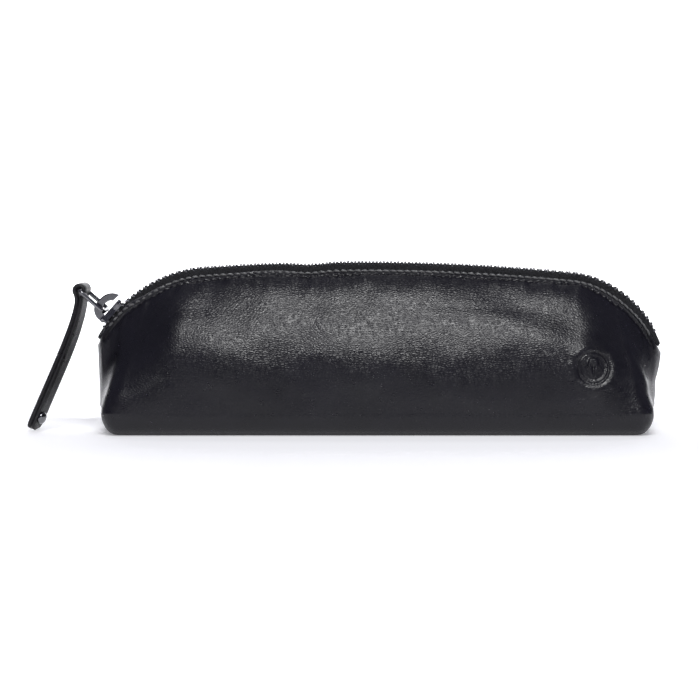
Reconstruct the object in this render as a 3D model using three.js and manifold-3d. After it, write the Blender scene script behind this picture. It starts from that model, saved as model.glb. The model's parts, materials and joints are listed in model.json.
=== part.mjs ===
// Zipped leather pen case: a boxed, flat-based pouch with a domed zip, a slider at its left shoulder,
// a wire ring and a folded leather pull strap. Millimetres, +Z up, +X to the right of the front,
// -Y to the front, origin on the resting surface under the middle of the base.
import * as THREE from 'three';
import { mergeVertices } from 'three/addons/utils/BufferGeometryUtils.js';
import Module from 'manifold-3d';

const wasm = await Module();
wasm.setup();

const DEG = Math.PI / 180;

// Driving dimensions of the zip line: three tangent arcs in the XZ plane, angles from +X.
const CROWN = { x: -7, z: 58.7, radius: 771.6 };
const LEFT_ARC = { radius: 46.45, from: 151.7, to: 94.03 };
const RIGHT_ARC = { radius: 36.8, from: 84.35, to: 18 };
const LEFT_SEAM_LEAN = { x: -0.14, z: -0.99 };
const RIGHT_SEAM_LEAN = { x: -0.06, z: -0.998 };

// Driving dimensions of the pouch.
const HALF_LENGTH = 96.5;
const END_BOW = 1.6;
const HALF_DEPTH = 24.2;
const CORNER_RADIUS = 6;
const END_SEAM_FOOT = 8;
const FLOOR_INSET = 5.5;
const FLOOR_CORNER = 1.5;
const SEAM_GAP = 0.15;
const FACET_TOP = 26;
const SEAM_CLOSE = 4;
const SEAM_OPEN = 2.5;
const ZIP_OPENING_HALF = 7.3;
const EDGE_DROP = 0.8;
const FACET_BLEND = 18;
const WALL_BULGE = 1.2;
const BULGE_TOP = 0.625;
const WALL_ROUNDNESS = 1.3;
const WALL_TOP_ANGLE = 75 * DEG;
const LEATHER = 1.2;
const LINING_DEPTH = 2.9;
const LINING = 0.5;
const BOARD = { halfLength: 88, halfDepth: 13.5, radius: 4, bottom: 1.5, thickness: 1.1 };

// Driving dimensions of the zip.
const PITCH = 2.54;
const TOOTH_HALF_HEIGHT = 1.25;
const TOOTH_OUTER = 2.7;
const TOOTH_REACH = 0.55;
const TOOTH_ROOT = 1.01;
const TEETH_START = 2.5;
const TEETH_END = 2.6;
const STOP = { from: 0.45, to: 2.2, across: 1.6, half: 1.1 };
const ROWS_PART = 1.4;
const TAPE = 0.4;
const TAPE_EDGE = 3.0;
const TAPE_BREAK = 5.4;
const TAPE_DEPTH = 2.05;
const TAPE_END = 3;
const TAPE_CLEAR = 1.9;
const TAPE_UNDER_LEATHER = [1, 0.95, 0.88];

// Driving dimensions of the slider, ring and strap.
const SLIDER_ANGLE = 138.5;
const SLIDER = { half: 5.1, gap: 1.55, plate: 1.2, shoulder: 0.75, shoulderLength: 1.6 };
const FLANGE = { thickness: 0.65, lip: 0.5, inset: 1.2, clear: 0.35, sink: 0.2 };
const WEDGE = { half: 0.5, from: 0.2, to: 2.5, tip: 3.5 };
const LUG_WIDTH = 3;
const RING = { length: 11.2, width: 8.4, wire: 0.7, corner: 1.4, footAlong: -1.3, footUp: 1.05 };
const RING_LEAN = 139.2;
const RING_TWIST = [0.13, 0.984, 0.12];
const STRAP = { width: 6, half: 1.15, eye: 1.16, twist: [0.22, 0.974, 0.05], lean: 0.1 };
const RIVET = { fromTip: 4.9, shank: 0.95, hole: 1.25, cap: 2.3, capHeight: 0.9, rim: 0.35, clear: 0.3 };

const material = (color, roughness, metalness) =>
  new THREE.MeshStandardMaterial({ color, roughness, metalness });

// ---------- meshes and booleans ----------

// Collects triangles and quads by their corners and welds them into one closed geometry.
class Skin {
  constructor() {
    this.corners = [];
  }

  // Corners that meet in one point leave nothing to close, so such a triangle is left out.
  triangle(a, b, c) {
    const same = (p, q) => p.every((value, i) => Math.abs(value - q[i]) < 1e-6);
    if (!same(a, b) && !same(b, c) && !same(c, a)) {
      this.corners.push(...a, ...b, ...c);
    }
  }

  quad(a, b, c, d) {
    this.triangle(a, b, c);
    this.triangle(a, c, d);
  }

  geometry() {
    const geometry = new THREE.BufferGeometry();
    geometry.setAttribute('position', new THREE.Float32BufferAttribute(this.corners, 3));
    return withNormals(mergeVertices(geometry, 1e-5));
  }
}

function withNormals(geometry) {
  geometry.computeVertexNormals();
  return geometry;
}

function solidOf(geometry) {
  const bare = geometry.clone();
  bare.deleteAttribute('normal');
  bare.deleteAttribute('uv');
  const merged = mergeVertices(bare, 1e-5);
  const vertProperties = new Float32Array(merged.attributes.position.array);
  const triVerts = new Uint32Array(merged.index.array);
  return new wasm.Manifold(new wasm.Mesh({ numProp: 3, vertProperties, triVerts }));
}

function geometryOf(solid) {
  const mesh = solid.getMesh();
  const geometry = new THREE.BufferGeometry();
  geometry.setAttribute('position', new THREE.Float32BufferAttribute(mesh.vertProperties, 3));
  geometry.setIndex(new THREE.Uint32BufferAttribute(mesh.triVerts, 1));
  return withNormals(geometry);
}

// A prism of an outline drawn in X and Z, centred on Y.
function prismXZ(outline, width, curveSegments = 8) {
  const geometry = new THREE.ExtrudeGeometry(outline, { depth: width, bevelEnabled: false, curveSegments });
  geometry.translate(0, 0, -width / 2);
  geometry.rotateX(Math.PI / 2);
  return geometry;
}

// A prism of an outline drawn in X and Y, from one height up to another.
function prismXY(outline, bottom, height, curveSegments = 6) {
  const geometry = new THREE.ExtrudeGeometry(outline, { depth: height, bevelEnabled: false, curveSegments });
  geometry.translate(0, 0, bottom);
  return geometry;
}

function shapeOf(points) {
  return new THREE.Shape(points.map(([x, y]) => new THREE.Vector2(x, y)));
}

function smooth(from, to, value) {
  return THREE.MathUtils.smoothstep(value, from, to);
}

// ---------- zip line ----------

const arcAt = (centre, radius, angle) => ({
  x: centre.x + radius * Math.cos(angle * DEG),
  z: centre.z + radius * Math.sin(angle * DEG),
});
const crownCentre = { x: CROWN.x, z: CROWN.z - CROWN.radius };
const leftCentre = arcAt(crownCentre, CROWN.radius - LEFT_ARC.radius, LEFT_ARC.to);
const rightCentre = arcAt(crownCentre, CROWN.radius - RIGHT_ARC.radius, RIGHT_ARC.from);
const ARCS = [
  { centre: leftCentre, radius: LEFT_ARC.radius, from: LEFT_ARC.from, to: LEFT_ARC.to },
  { centre: crownCentre, radius: CROWN.radius, from: LEFT_ARC.to, to: RIGHT_ARC.from },
  { centre: rightCentre, radius: RIGHT_ARC.radius, from: RIGHT_ARC.from, to: RIGHT_ARC.to },
];
for (const arc of ARCS) {
  arc.length = arc.radius * (arc.from - arc.to) * DEG;
}
const ZIP_LENGTH = ARCS[0].length + ARCS[1].length + ARCS[2].length;
const SLIDER_AT = LEFT_ARC.radius * (LEFT_ARC.from - SLIDER_ANGLE) * DEG;

// Point, tangent and outward normal of the zip line at a length from its left end.
function zipFrame(along) {
  let rest = THREE.MathUtils.clamp(along, 0, ZIP_LENGTH);
  let arc = ARCS[0];
  for (const next of ARCS) {
    arc = next;
    if (rest <= arc.length || arc === ARCS[2]) {
      break;
    }
    rest -= arc.length;
  }
  const angle = arc.from - rest / arc.radius / DEG;
  const point = arcAt(arc.centre, arc.radius, angle);
  const normal = { x: Math.cos(angle * DEG), z: Math.sin(angle * DEG) };
  const beyond = along < 0 ? -along : Math.max(0, along - ZIP_LENGTH);
  const lean = along < 0 ? LEFT_SEAM_LEAN : RIGHT_SEAM_LEAN;
  return { x: point.x + lean.x * beyond, z: point.z + lean.z * beyond, normal };
}

// A point beside the zip line: along it, across it (Y) and above it.
function zipPoint(along, across, above) {
  const frame = zipFrame(along);
  return [frame.x + frame.normal.x * above, across, frame.z + frame.normal.z * above];
}

// How far each row of teeth stands off the middle: closed right of the slider, parted left of it.
const rowsPart = (along) => ROWS_PART * (1 - smooth(SLIDER_AT - 4.5, SLIDER_AT + 1.5, along));

// ---------- pouch walls ----------

// 0 where the leather edges meet in the end seams, 1 along the open zip.
function opened(along) {
  const left = smooth(-SEAM_CLOSE, SEAM_OPEN, along);
  const right = smooth(-SEAM_CLOSE, SEAM_OPEN, ZIP_LENGTH - along);
  return left * right;
}

function leatherEdge(along) {
  const open = opened(along);
  return zipPoint(along, -SEAM_GAP - (ZIP_OPENING_HALF - SEAM_GAP) * open, -EDGE_DROP * open);
}

// The front half of a rounded rectangle, from the middle of its left end to the middle of its right.
const END_STRAIGHT = HALF_DEPTH - CORNER_RADIUS;
const CORNER_LENGTH = CORNER_RADIUS * Math.PI / 2;
const FACET = END_STRAIGHT + CORNER_LENGTH;
const FRONT_STRAIGHT = 2 * (HALF_LENGTH - CORNER_RADIUS);
const HALF_OUTLINE = 2 * FACET + FRONT_STRAIGHT;

function outlinePoint(travel, halfLength, halfDepth, corner) {
  const onRight = travel > HALF_OUTLINE / 2;
  const from = onRight ? HALF_OUTLINE - travel : travel;
  const across = Math.min(from / END_STRAIGHT, 1);
  let x = -halfLength - END_BOW * Math.cos(across * Math.PI / 2) ** 2;
  let y = -(halfDepth - corner) * across;
  if (from > END_STRAIGHT) {
    const turn = Math.min((from - END_STRAIGHT) / CORNER_LENGTH, 1) * Math.PI / 2;
    x = -halfLength + corner * (1 - Math.cos(turn));
    y = -(halfDepth - corner) - corner * Math.sin(turn);
  }
  if (from > FACET) {
    x += (from - FACET) * (halfLength - corner) / (FRONT_STRAIGHT / 2);
  }
  return [onRight ? -x : x, Math.min(y, -SEAM_GAP)];
}

// The zip position above a place on the outline: the end facets fan out to FACET_TOP of the zip.
function zipAbove(travel) {
  const onRight = travel > HALF_OUTLINE / 2;
  const from = onRight ? HALF_OUTLINE - travel : travel;
  const middle = ZIP_LENGTH / 2;
  const along = from < FACET
    ? -SEAM_CLOSE + (FACET_TOP + SEAM_CLOSE) * from / FACET
    : FACET_TOP + (middle - FACET_TOP) * (from - FACET) / (FRONT_STRAIGHT / 2);
  return onRight ? ZIP_LENGTH - along : along;
}

// The outline travel below a zip position.
function travelBelow(along) {
  let low = 0;
  let high = HALF_OUTLINE;
  while (high - low > 1e-4) {
    const middle = (low + high) / 2;
    if (zipAbove(middle) < along) {
      low = middle;
    } else {
      high = middle;
    }
  }
  return low;
}

// The outer leather above the end seams' feet: rise goes from 0 at the foot to 1 at the zip edge.
function wallPoint(travel, rise) {
  const [footX, footY] = outlinePoint(travel, HALF_LENGTH, HALF_DEPTH, CORNER_RADIUS);
  const [edgeX, edgeY, edgeZ] = leatherEdge(zipAbove(travel));
  const fromEnd = Math.min(travel, HALF_OUTLINE - travel);
  const round = smooth(END_STRAIGHT, FACET + FACET_BLEND, fromEnd);
  const turn = rise * WALL_TOP_ANGLE;
  const least = Math.cos(WALL_TOP_ANGLE) ** WALL_ROUNDNESS;
  const inward = 1 - (Math.cos(turn) ** WALL_ROUNDNESS - least) / (1 - least);
  const up = Math.sin(turn) / Math.sin(WALL_TOP_ANGLE);
  const height = THREE.MathUtils.lerp(rise, up, round);
  const depth = THREE.MathUtils.lerp(rise, inward, round);
  const bulge = round * WALL_BULGE * Math.sin(Math.PI * Math.min(rise / BULGE_TOP, 1));
  return [
    THREE.MathUtils.lerp(footX, edgeX, height),
    THREE.MathUtils.lerp(footY, edgeY, depth) - bulge,
    THREE.MathUtils.lerp(END_SEAM_FOOT, edgeZ, height),
  ];
}

// The outer leather below the end seams' feet: turn goes from 0 at the foot to 1 on the floor.
function hemPoint(travel, turn) {
  const [footX, footY] = outlinePoint(travel, HALF_LENGTH, HALF_DEPTH, CORNER_RADIUS);
  const [floorX, floorY] = outlinePoint(
    travel, HALF_LENGTH - FLOOR_INSET, HALF_DEPTH - FLOOR_INSET, FLOOR_CORNER);
  const out = Math.cos(turn * Math.PI / 2);
  return [
    THREE.MathUtils.lerp(floorX, footX, out),
    THREE.MathUtils.lerp(floorY, footY, out),
    END_SEAM_FOOT * (1 - Math.sin(turn * Math.PI / 2)),
  ];
}

// The whole outer leather: height 1 at the zip edge, 0 at the seam feet, -1 on the floor's edge.
const leatherPoint = (travel, height) =>
  (height >= 0 ? wallPoint(travel, height) : hemPoint(travel, -height));

// A point a given depth under the leather's face.
function underLeather(travel, height, depth) {
  const step = 0.4;
  const lowTravel = Math.max(travel - step, 0);
  const highTravel = Math.min(travel + step, HALF_OUTLINE);
  const lowHeight = Math.max(height - 0.02, -1);
  const highHeight = Math.min(height + 0.02, 1);
  const along = new THREE.Vector3(...leatherPoint(highTravel, height))
    .sub(new THREE.Vector3(...leatherPoint(lowTravel, height)));
  const upward = new THREE.Vector3(...leatherPoint(travel, highHeight))
    .sub(new THREE.Vector3(...leatherPoint(travel, lowHeight)));
  const outward = along.cross(upward).normalize();
  if (height <= -1) {
    outward.set(0, 0, -1);
  }
  const point = new THREE.Vector3(...leatherPoint(travel, height)).addScaledVector(outward, -depth);
  return [point.x, Math.min(point.y, -SEAM_GAP), point.z];
}

const mirrored = ([x, y, z]) => [x, -y, z];

// A pouch of even thickness between two depths under the leather's face, open along the zip.
function pouch(travels, heights, outerDepth, innerDepth) {
  const skin = new Skin();
  const feet = heights.indexOf(0);
  const last = travels.length - 1;
  const face = (depth) => travels.map((travel) => {
    const column = heights.map((height) => underLeather(travel, height, depth));
    const spineX = THREE.MathUtils.clamp(column[0][0], HALF_DEPTH - HALF_LENGTH, HALF_LENGTH - HALF_DEPTH);
    return [...column, [spineX, 0, column[column.length - 1][2]]];
  });
  const outer = face(outerDepth);
  const inner = face(innerDepth);
  const both = (a, b, c, d) => {
    skin.quad(a, b, c, d);
    skin.quad(mirrored(d), mirrored(c), mirrored(b), mirrored(a));
  };
  for (let i = 0; i < last; i += 1) {
    for (let j = 0; j < heights.length; j += 1) {
      both(outer[i][j], outer[i][j + 1], outer[i + 1][j + 1], outer[i + 1][j]);
      both(inner[i][j], inner[i + 1][j], inner[i + 1][j + 1], inner[i][j + 1]);
    }
    both(outer[i][0], outer[i + 1][0], inner[i + 1][0], inner[i][0]);
  }
  for (let j = 0; j < feet; j += 1) {
    both(outer[0][j], inner[0][j], inner[0][j + 1], outer[0][j + 1]);
    both(outer[last][j], outer[last][j + 1], inner[last][j + 1], inner[last][j]);
  }
  for (let j = feet; j < heights.length; j += 1) {
    bridgeEnd(skin, outer[0][j], outer[0][j + 1]);
    bridgeEnd(skin, inner[0][j + 1], inner[0][j]);
    bridgeEnd(skin, outer[last][j + 1], outer[last][j]);
    bridgeEnd(skin, inner[last][j], inner[last][j + 1]);
  }
  skin.quad(outer[0][feet], inner[0][feet], mirrored(inner[0][feet]), mirrored(outer[0][feet]));
  skin.quad(inner[last][feet], outer[last][feet], mirrored(outer[last][feet]), mirrored(inner[last][feet]));
  return skin.geometry();
}

// Closes the narrow strip between a pouch's two halves under an end seam.
function bridgeEnd(skin, upper, lower) {
  if (lower[1] === 0) {
    skin.triangle(upper, mirrored(upper), lower);
  } else if (upper[1] === 0) {
    skin.triangle(upper, mirrored(lower), lower);
  } else {
    skin.quad(upper, mirrored(upper), mirrored(lower), lower);
  }
}

// Outline positions with even steps in the two end facets and between them.
function steps(facetSteps, frontSteps) {
  const travels = [];
  for (let i = 0; i < facetSteps; i += 1) {
    travels.push(FACET * i / facetSteps);
  }
  for (let i = 0; i <= frontSteps; i += 1) {
    travels.push(FACET + FRONT_STRAIGHT * i / frontSteps);
  }
  for (let i = facetSteps - 1; i >= 0; i -= 1) {
    travels.push(HALF_OUTLINE - FACET * i / facetSteps);
  }
  return travels;
}

// ---------- zip parts ----------

// A closed strip through a list of four-cornered sections.
function strip(sections) {
  const skin = new Skin();
  for (let i = 0; i + 1 < sections.length; i += 1) {
    for (let k = 0; k < sections[i].length; k += 1) {
      const next = (k + 1) % sections[i].length;
      skin.quad(sections[i][k], sections[i][next], sections[i + 1][next], sections[i + 1][k]);
    }
  }
  for (const [section, forward] of [[sections[0], false], [sections[sections.length - 1], true]]) {
    for (let k = 1; k + 1 < section.length; k += 1) {
      const corners = [section[0], section[k], section[k + 1]];
      skin.triangle(...(forward ? corners : corners.reverse()));
    }
  }
  return skin.geometry();
}

// One row of teeth along its clamped cord: side is -1 for the front row and 1 for the back.
function teethRow(side) {
  const sections = [];
  const count = Math.floor((ZIP_LENGTH - TEETH_START - TEETH_END) / PITCH);
  for (let half = 0; half <= 2 * count; half += 1) {
    const along = TEETH_START + half * PITCH / 2;
    const head = (half % 2 === 0) === (side < 0);
    const part = rowsPart(along);
    const inner = side * (part + (head ? -TOOTH_REACH : TOOTH_ROOT));
    const outer = side * (part + TOOTH_OUTER);
    const section = [
      zipPoint(along, outer, -TOOTH_HALF_HEIGHT),
      zipPoint(along, inner, -TOOTH_HALF_HEIGHT),
      zipPoint(along, inner, TOOTH_HALF_HEIGHT),
      zipPoint(along, outer, TOOTH_HALF_HEIGHT),
    ];
    sections.push(side < 0 ? section : section.reverse());
  }
  return strip(sections);
}

// One tape: flat beside the teeth, then down under the leather's edge.
function tape(side) {
  const sections = [];
  const count = 56;
  for (let i = 0; i <= count; i += 1) {
    const along = TAPE_END + (ZIP_LENGTH - 2 * TAPE_END) * i / count;
    const travel = travelBelow(along);
    const fold = Math.min(TAPE_BREAK, ZIP_OPENING_HALF * opened(along) - TAPE_CLEAR);
    const edge = -TAPE_EDGE - rowsPart(along);
    const face = (lift) => [
      zipPoint(along, edge, lift),
      zipPoint(along, -fold, lift),
      ...TAPE_UNDER_LEATHER.map((height) => underLeather(travel, height, TAPE_DEPTH - lift)),
    ];
    const section = [...face(TAPE / 2), ...face(-TAPE / 2).reverse()];
    sections.push(side < 0 ? section : section.map(mirrored).reverse());
  }
  return strip(sections);
}

// A crimped stop between two places along the zip and two distances across it.
function stop(from, to, inner, outer) {
  const sections = [from, to].map((along) => [
    zipPoint(along, -outer, -TOOTH_HALF_HEIGHT),
    zipPoint(along, -inner, -TOOTH_HALF_HEIGHT),
    zipPoint(along, -inner, TOOTH_HALF_HEIGHT),
    zipPoint(along, -outer, TOOTH_HALF_HEIGHT),
  ]);
  return strip(sections);
}

// ---------- slider ----------

// The slider's half width at a distance along it, and its plates' outline.
const sliderHalfWidth = (along) =>
  TOOTH_OUTER + FLANGE.clear + rowsPart(SLIDER_AT + along) + FLANGE.thickness;

function sliderPlate() {
  const { half, shoulder, shoulderLength } = SLIDER;
  const side = [];
  for (let i = 0; i <= 8; i += 1) {
    const along = -half + 2 * half * i / 8;
    const rounding = shoulder * (1 - smooth(0, shoulderLength, half - Math.abs(along)));
    side.push([along, sliderHalfWidth(along) - rounding]);
  }
  return shapeOf([...side.map(([x, y]) => [x, -y]), ...side.reverse()]);
}

function sliderFlange(side) {
  const outer = [];
  const inner = [];
  const reach = SLIDER.half - FLANGE.inset;
  for (let i = 0; i <= 6; i += 1) {
    const along = -reach + 2 * reach * i / 6;
    outer.push([along, side * (sliderHalfWidth(along) - 0.02)]);
    inner.push([along, side * (sliderHalfWidth(along) - FLANGE.thickness)]);
  }
  const ring = side > 0 ? [...inner, ...outer.reverse()] : [...outer, ...inner.reverse()];
  return shapeOf(ring);
}

// The hooked lug that the ring hangs in: fixed at the mouth end, its free foot hovering over the plate.
function lugOutline() {
  const top = SLIDER.gap + SLIDER.plate;
  const shape = new THREE.Shape();
  shape.moveTo(-5.0, top - 0.6);
  shape.quadraticCurveTo(-6.0, top + 1.6, -3.6, top + 4.2);
  shape.quadraticCurveTo(-1.2, top + 5.4, 2.2, top + 4.6);
  shape.quadraticCurveTo(5.2, top + 3.6, 6.0, top + 0.9);
  shape.lineTo(2.9, top + 1.5);
  shape.quadraticCurveTo(2.6, top + 2.7, 0.6, top + 3.0);
  shape.quadraticCurveTo(-2.4, top + 3.2, -3.0, top - 0.6);
  shape.closePath();
  return shape;
}

function sliderSolid() {
  const { half, gap, plate } = SLIDER;
  const { lip, sink } = FLANGE;
  const wedge = shapeOf([
    [WEDGE.from - half, -WEDGE.half],
    [WEDGE.to - half, -WEDGE.half],
    [WEDGE.tip - half, 0],
    [WEDGE.to - half, WEDGE.half],
    [WEDGE.from - half, WEDGE.half],
  ]);
  const pieces = [
    prismXY(sliderPlate(), gap, plate),
    prismXY(sliderPlate(), -gap - plate, plate),
    prismXY(wedge, -gap - sink, 2 * (gap + sink)),
    prismXZ(lugOutline(), LUG_WIDTH, 5),
  ];
  for (const side of [-1, 1]) {
    pieces.push(prismXY(sliderFlange(side), lip, gap - lip + sink));
    pieces.push(prismXY(sliderFlange(side), -gap - sink, gap - lip + sink));
  }
  const solids = pieces.map(solidOf);
  return geometryOf(solids.reduce((whole, solid) => whole.add(solid)));
}

// ---------- ring, strap and rivet ----------

const unit = (x, y, z) => new THREE.Vector3(x, y, z).normalize();

// A wire loop with rounded corners: its foot bar runs through the origin along Y, its length is X.
function ringSolid() {
  const { length, width, corner, wire } = RING;
  const centreLine = [];
  const arcs = [[length - corner, width / 2 - corner, 0], [corner, width / 2 - corner, 90],
    [corner, corner - width / 2, 180], [length - corner, corner - width / 2, 270]];
  for (const [x, y, start] of arcs) {
    for (let i = 0; i <= 4; i += 1) {
      const angle = (start + i * 22.5) * DEG;
      const outward = [Math.cos(angle), Math.sin(angle)];
      centreLine.push({ at: [x + corner * outward[0], y + corner * outward[1]], outward });
    }
  }
  const skin = new Skin();
  const sides = 10;
  const around = ({ at, outward }, k) => {
    const turn = 2 * Math.PI * (k % sides) / sides;
    const out = wire * Math.cos(turn);
    return [at[0] + outward[0] * out, at[1] + outward[1] * out, wire * Math.sin(turn)];
  };
  centreLine.forEach((here, i) => {
    const next = centreLine[(i + 1) % centreLine.length];
    for (let k = 0; k < sides; k += 1) {
      skin.quad(around(here, k), around(next, k), around(next, k + 1), around(here, k + 1));
    }
  });
  return skin.geometry();
}

const sliderCentre = arcAt(leftCentre, LEFT_ARC.radius, SLIDER_ANGLE);
const sliderTurn = (90 - SLIDER_ANGLE) * DEG;
const ringFoot = new THREE.Vector3(RING.footAlong, 0, SLIDER.gap + SLIDER.plate + RING.footUp)
  .applyAxisAngle(new THREE.Vector3(0, 1, 0), sliderTurn)
  .add(new THREE.Vector3(sliderCentre.x, 0, sliderCentre.z));
const ringAcross = unit(...RING_TWIST);
const ringAlong = unit(Math.cos(RING_LEAN * DEG), 0, Math.sin(RING_LEAN * DEG));
ringAlong.addScaledVector(ringAcross, -ringAlong.dot(ringAcross)).normalize();
const ringHead = ringFoot.clone().addScaledVector(ringAlong, RING.length);

// The strap's middle line hangs from the ring's head: a gentle curve down to the tip on the floor.
const strapCurve = new THREE.CubicBezierCurve(
  new THREE.Vector2(0, 0),
  new THREE.Vector2(0.9, -10.5),
  new THREE.Vector2(-9.4, -31),
  new THREE.Vector2(-16.2, -48.1),
);

// Outline of the strap's edge, in X and Z from the ring's head: the eye, then two layers side by side.
function strapOutline() {
  const { half, eye } = STRAP;
  const outer = eye + half;
  const left = [];
  const right = [];
  const count = 14;
  for (let i = 1; i <= count; i += 1) {
    const t = 0.1 + 0.9 * i / count;
    const point = strapCurve.getPoint(t);
    const along = strapCurve.getTangent(t);
    left.push([point.x + along.y * half, point.y - along.x * half]);
    right.push([point.x - along.y * half, point.y + along.x * half]);
  }
  const eyeRing = [];
  for (let angle = 245; angle >= -65; angle -= 31) {
    eyeRing.push([outer * Math.cos(angle * DEG), outer * Math.sin(angle * DEG)]);
  }
  const shape = shapeOf([...left.reverse(), ...eyeRing, ...right]);
  const hole = new THREE.Path();
  hole.absarc(0, 0, eye + 0.05, 0, 2 * Math.PI, false);
  shape.holes.push(hole);
  return shape;
}

// Places a point of the strap's edge outline and a distance across the strap in the part's frame.
function strapPlace(x, z, across) {
  const { twist, lean } = STRAP;
  const point = new THREE.Vector3(x, lean * z, z).addScaledVector(unit(...twist), across);
  return point.add(ringHead);
}

// The strap's frame near its tip, where the rivet goes through both layers.
const rivetAt = 1 - RIVET.fromTip / strapCurve.getLength();
const rivetPoint = strapCurve.getPointAt(rivetAt);
const rivetTangent = strapCurve.getTangentAt(rivetAt);
const rivetCentre = strapPlace(rivetPoint.x, rivetPoint.y, 0);
const strapDown = strapPlace(rivetPoint.x + rivetTangent.x, rivetPoint.y + rivetTangent.y, 0)
  .sub(rivetCentre).normalize();
const strapFace = unit(...STRAP.twist).cross(strapDown).negate().normalize();
const strapFrame = new THREE.Matrix4()
  .makeBasis(strapDown.clone().cross(strapFace), strapDown, strapFace)
  .setPosition(rivetCentre);

function strapSolid() {
  const flat = new THREE.ExtrudeGeometry(strapOutline(), { depth: 1, bevelEnabled: false, curveSegments: 5 });
  const position = flat.attributes.position;
  for (let i = 0; i < position.count; i += 1) {
    const across = (0.5 - position.getZ(i)) * STRAP.width;
    const point = strapPlace(position.getX(i), position.getY(i), across);
    position.setXYZ(i, point.x, point.y, point.z);
  }
  const tongue = new THREE.Shape();
  const round = STRAP.width / 2 + 0.02;
  const beyondStrap = 60;
  tongue.moveTo(-round, -beyondStrap);
  tongue.lineTo(round, -beyondStrap);
  tongue.lineTo(round, RIVET.fromTip - round);
  tongue.absarc(0, RIVET.fromTip - round, round, 0, Math.PI, false);
  tongue.closePath();
  const tongueSolid = prismXY(tongue, -beyondStrap, 2 * beyondStrap, 8).applyMatrix4(strapFrame);
  const hole = new THREE.CylinderGeometry(RIVET.hole, RIVET.hole, 8 * STRAP.half, 14)
    .rotateX(Math.PI / 2)
    .applyMatrix4(strapFrame);
  return geometryOf(solidOf(flat).intersect(solidOf(tongueSolid)).subtract(solidOf(hole)));
}

const lathe = (profile) => new THREE.LatheGeometry(profile.map(([r, h]) => new THREE.Vector2(r, h)), 16)
  .rotateX(Math.PI / 2);

// The domed cap on the strap's right-hand face, with a blind socket for the post's end.
function rivetCap() {
  const base = STRAP.half + RIVET.clear;
  const { cap, rim, capHeight, shank, clear } = RIVET;
  return lathe([[0, base + rim], [shank + clear, base + rim], [shank + clear, base], [cap, base],
    [cap, base + rim], [0.75 * cap, base + 0.8 * capHeight], [0.4 * cap, base + capHeight + 0.1],
    [0, base + capHeight + 0.2]]);
}

// The post through both layers, with its flat foot on the other face.
function rivetPost() {
  const base = -STRAP.half - RIVET.clear;
  const { cap, rim, shank } = RIVET;
  const foot = 0.75 * cap;
  return lathe([[0, base - rim], [foot, base - rim], [foot, base], [shank, base],
    [shank, STRAP.half + RIVET.clear - 0.05], [0, STRAP.half + RIVET.clear - 0.05]]);
}

// ---------- assembly ----------

const black = 0x1d1b1e;
const leather = () => material(black, 0.5, 0);
const gunmetal = () => material(0x4a4a4e, 0.25, 1);
const textile = () => material(0x151416, 0.9, 0);

const penCase = new THREE.Group();

function add(name, geometry, look, placement) {
  const mesh = new THREE.Mesh(geometry, look);
  mesh.name = name;
  if (placement) {
    mesh.applyMatrix4(placement);
  }
  penCase.add(mesh);
}

function boardOutline() {
  const { halfLength, halfDepth, radius } = BOARD;
  const shape = new THREE.Shape();
  shape.absarc(halfLength - radius, halfDepth - radius, radius, 0, Math.PI / 2);
  shape.absarc(radius - halfLength, halfDepth - radius, radius, Math.PI / 2, Math.PI);
  shape.absarc(radius - halfLength, radius - halfDepth, radius, Math.PI, 1.5 * Math.PI);
  shape.absarc(halfLength - radius, radius - halfDepth, radius, 1.5 * Math.PI, 2 * Math.PI);
  return shape;
}

const leatherHeights = [1, 0.9, 0.76, 0.6, 0.44, 0.28, 0.14, 0, -0.34, -0.67, -1];
const liningHeights = [0.9, 0.72, 0.5, 0.25, 0, -0.5, -1];
add('leather_body', pouch(steps(8, 18), leatherHeights, 0, LEATHER), leather());
add('lining', pouch(steps(6, 12), liningHeights, LINING_DEPTH, LINING_DEPTH + LINING), textile());
add('base_board', prismXY(boardOutline(), BOARD.bottom, BOARD.thickness), material(0x6b5a48, 0.9, 0));

for (const [name, side] of [['front', -1], ['back', 1]]) {
  add(`zip_tape_${name}`, tape(side), textile());
  add(`zip_teeth_${name}`, teethRow(side), gunmetal());
  const across = -side * STOP.across;
  const topStop = stop(STOP.from, STOP.to, across - STOP.half, across + STOP.half);
  add(`top_stop_${name}`, topStop, gunmetal());
}
const bottomStop = stop(ZIP_LENGTH - STOP.to, ZIP_LENGTH - STOP.from, -TOOTH_OUTER, TOOTH_OUTER);
add('bottom_stop', bottomStop, gunmetal());

const sliderPlacement = new THREE.Matrix4().makeRotationY(sliderTurn)
  .setPosition(sliderCentre.x, 0, sliderCentre.z);
add('zip_slider', sliderSolid(), gunmetal(), sliderPlacement);

const ringPlacement = new THREE.Matrix4()
  .makeBasis(ringAlong, ringAcross, ringAlong.clone().cross(ringAcross))
  .setPosition(ringFoot);
add('ring_link', ringSolid(), gunmetal(), ringPlacement);

add('pull_strap', strapSolid(), leather());
add('rivet_cap', rivetCap(), gunmetal(), strapFrame);
add('rivet_post', rivetPost(), gunmetal(), strapFrame);

export default penCase;
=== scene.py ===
"""Black leather pen case with a domed zip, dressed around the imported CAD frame. Sizes are in
millimetres until a mesh is made; -Y is the front and Z=0 is the surface that the case stands on."""
import json
import math

import bmesh
import bpy
import numpy as np
from mathutils import Matrix, Vector


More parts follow.
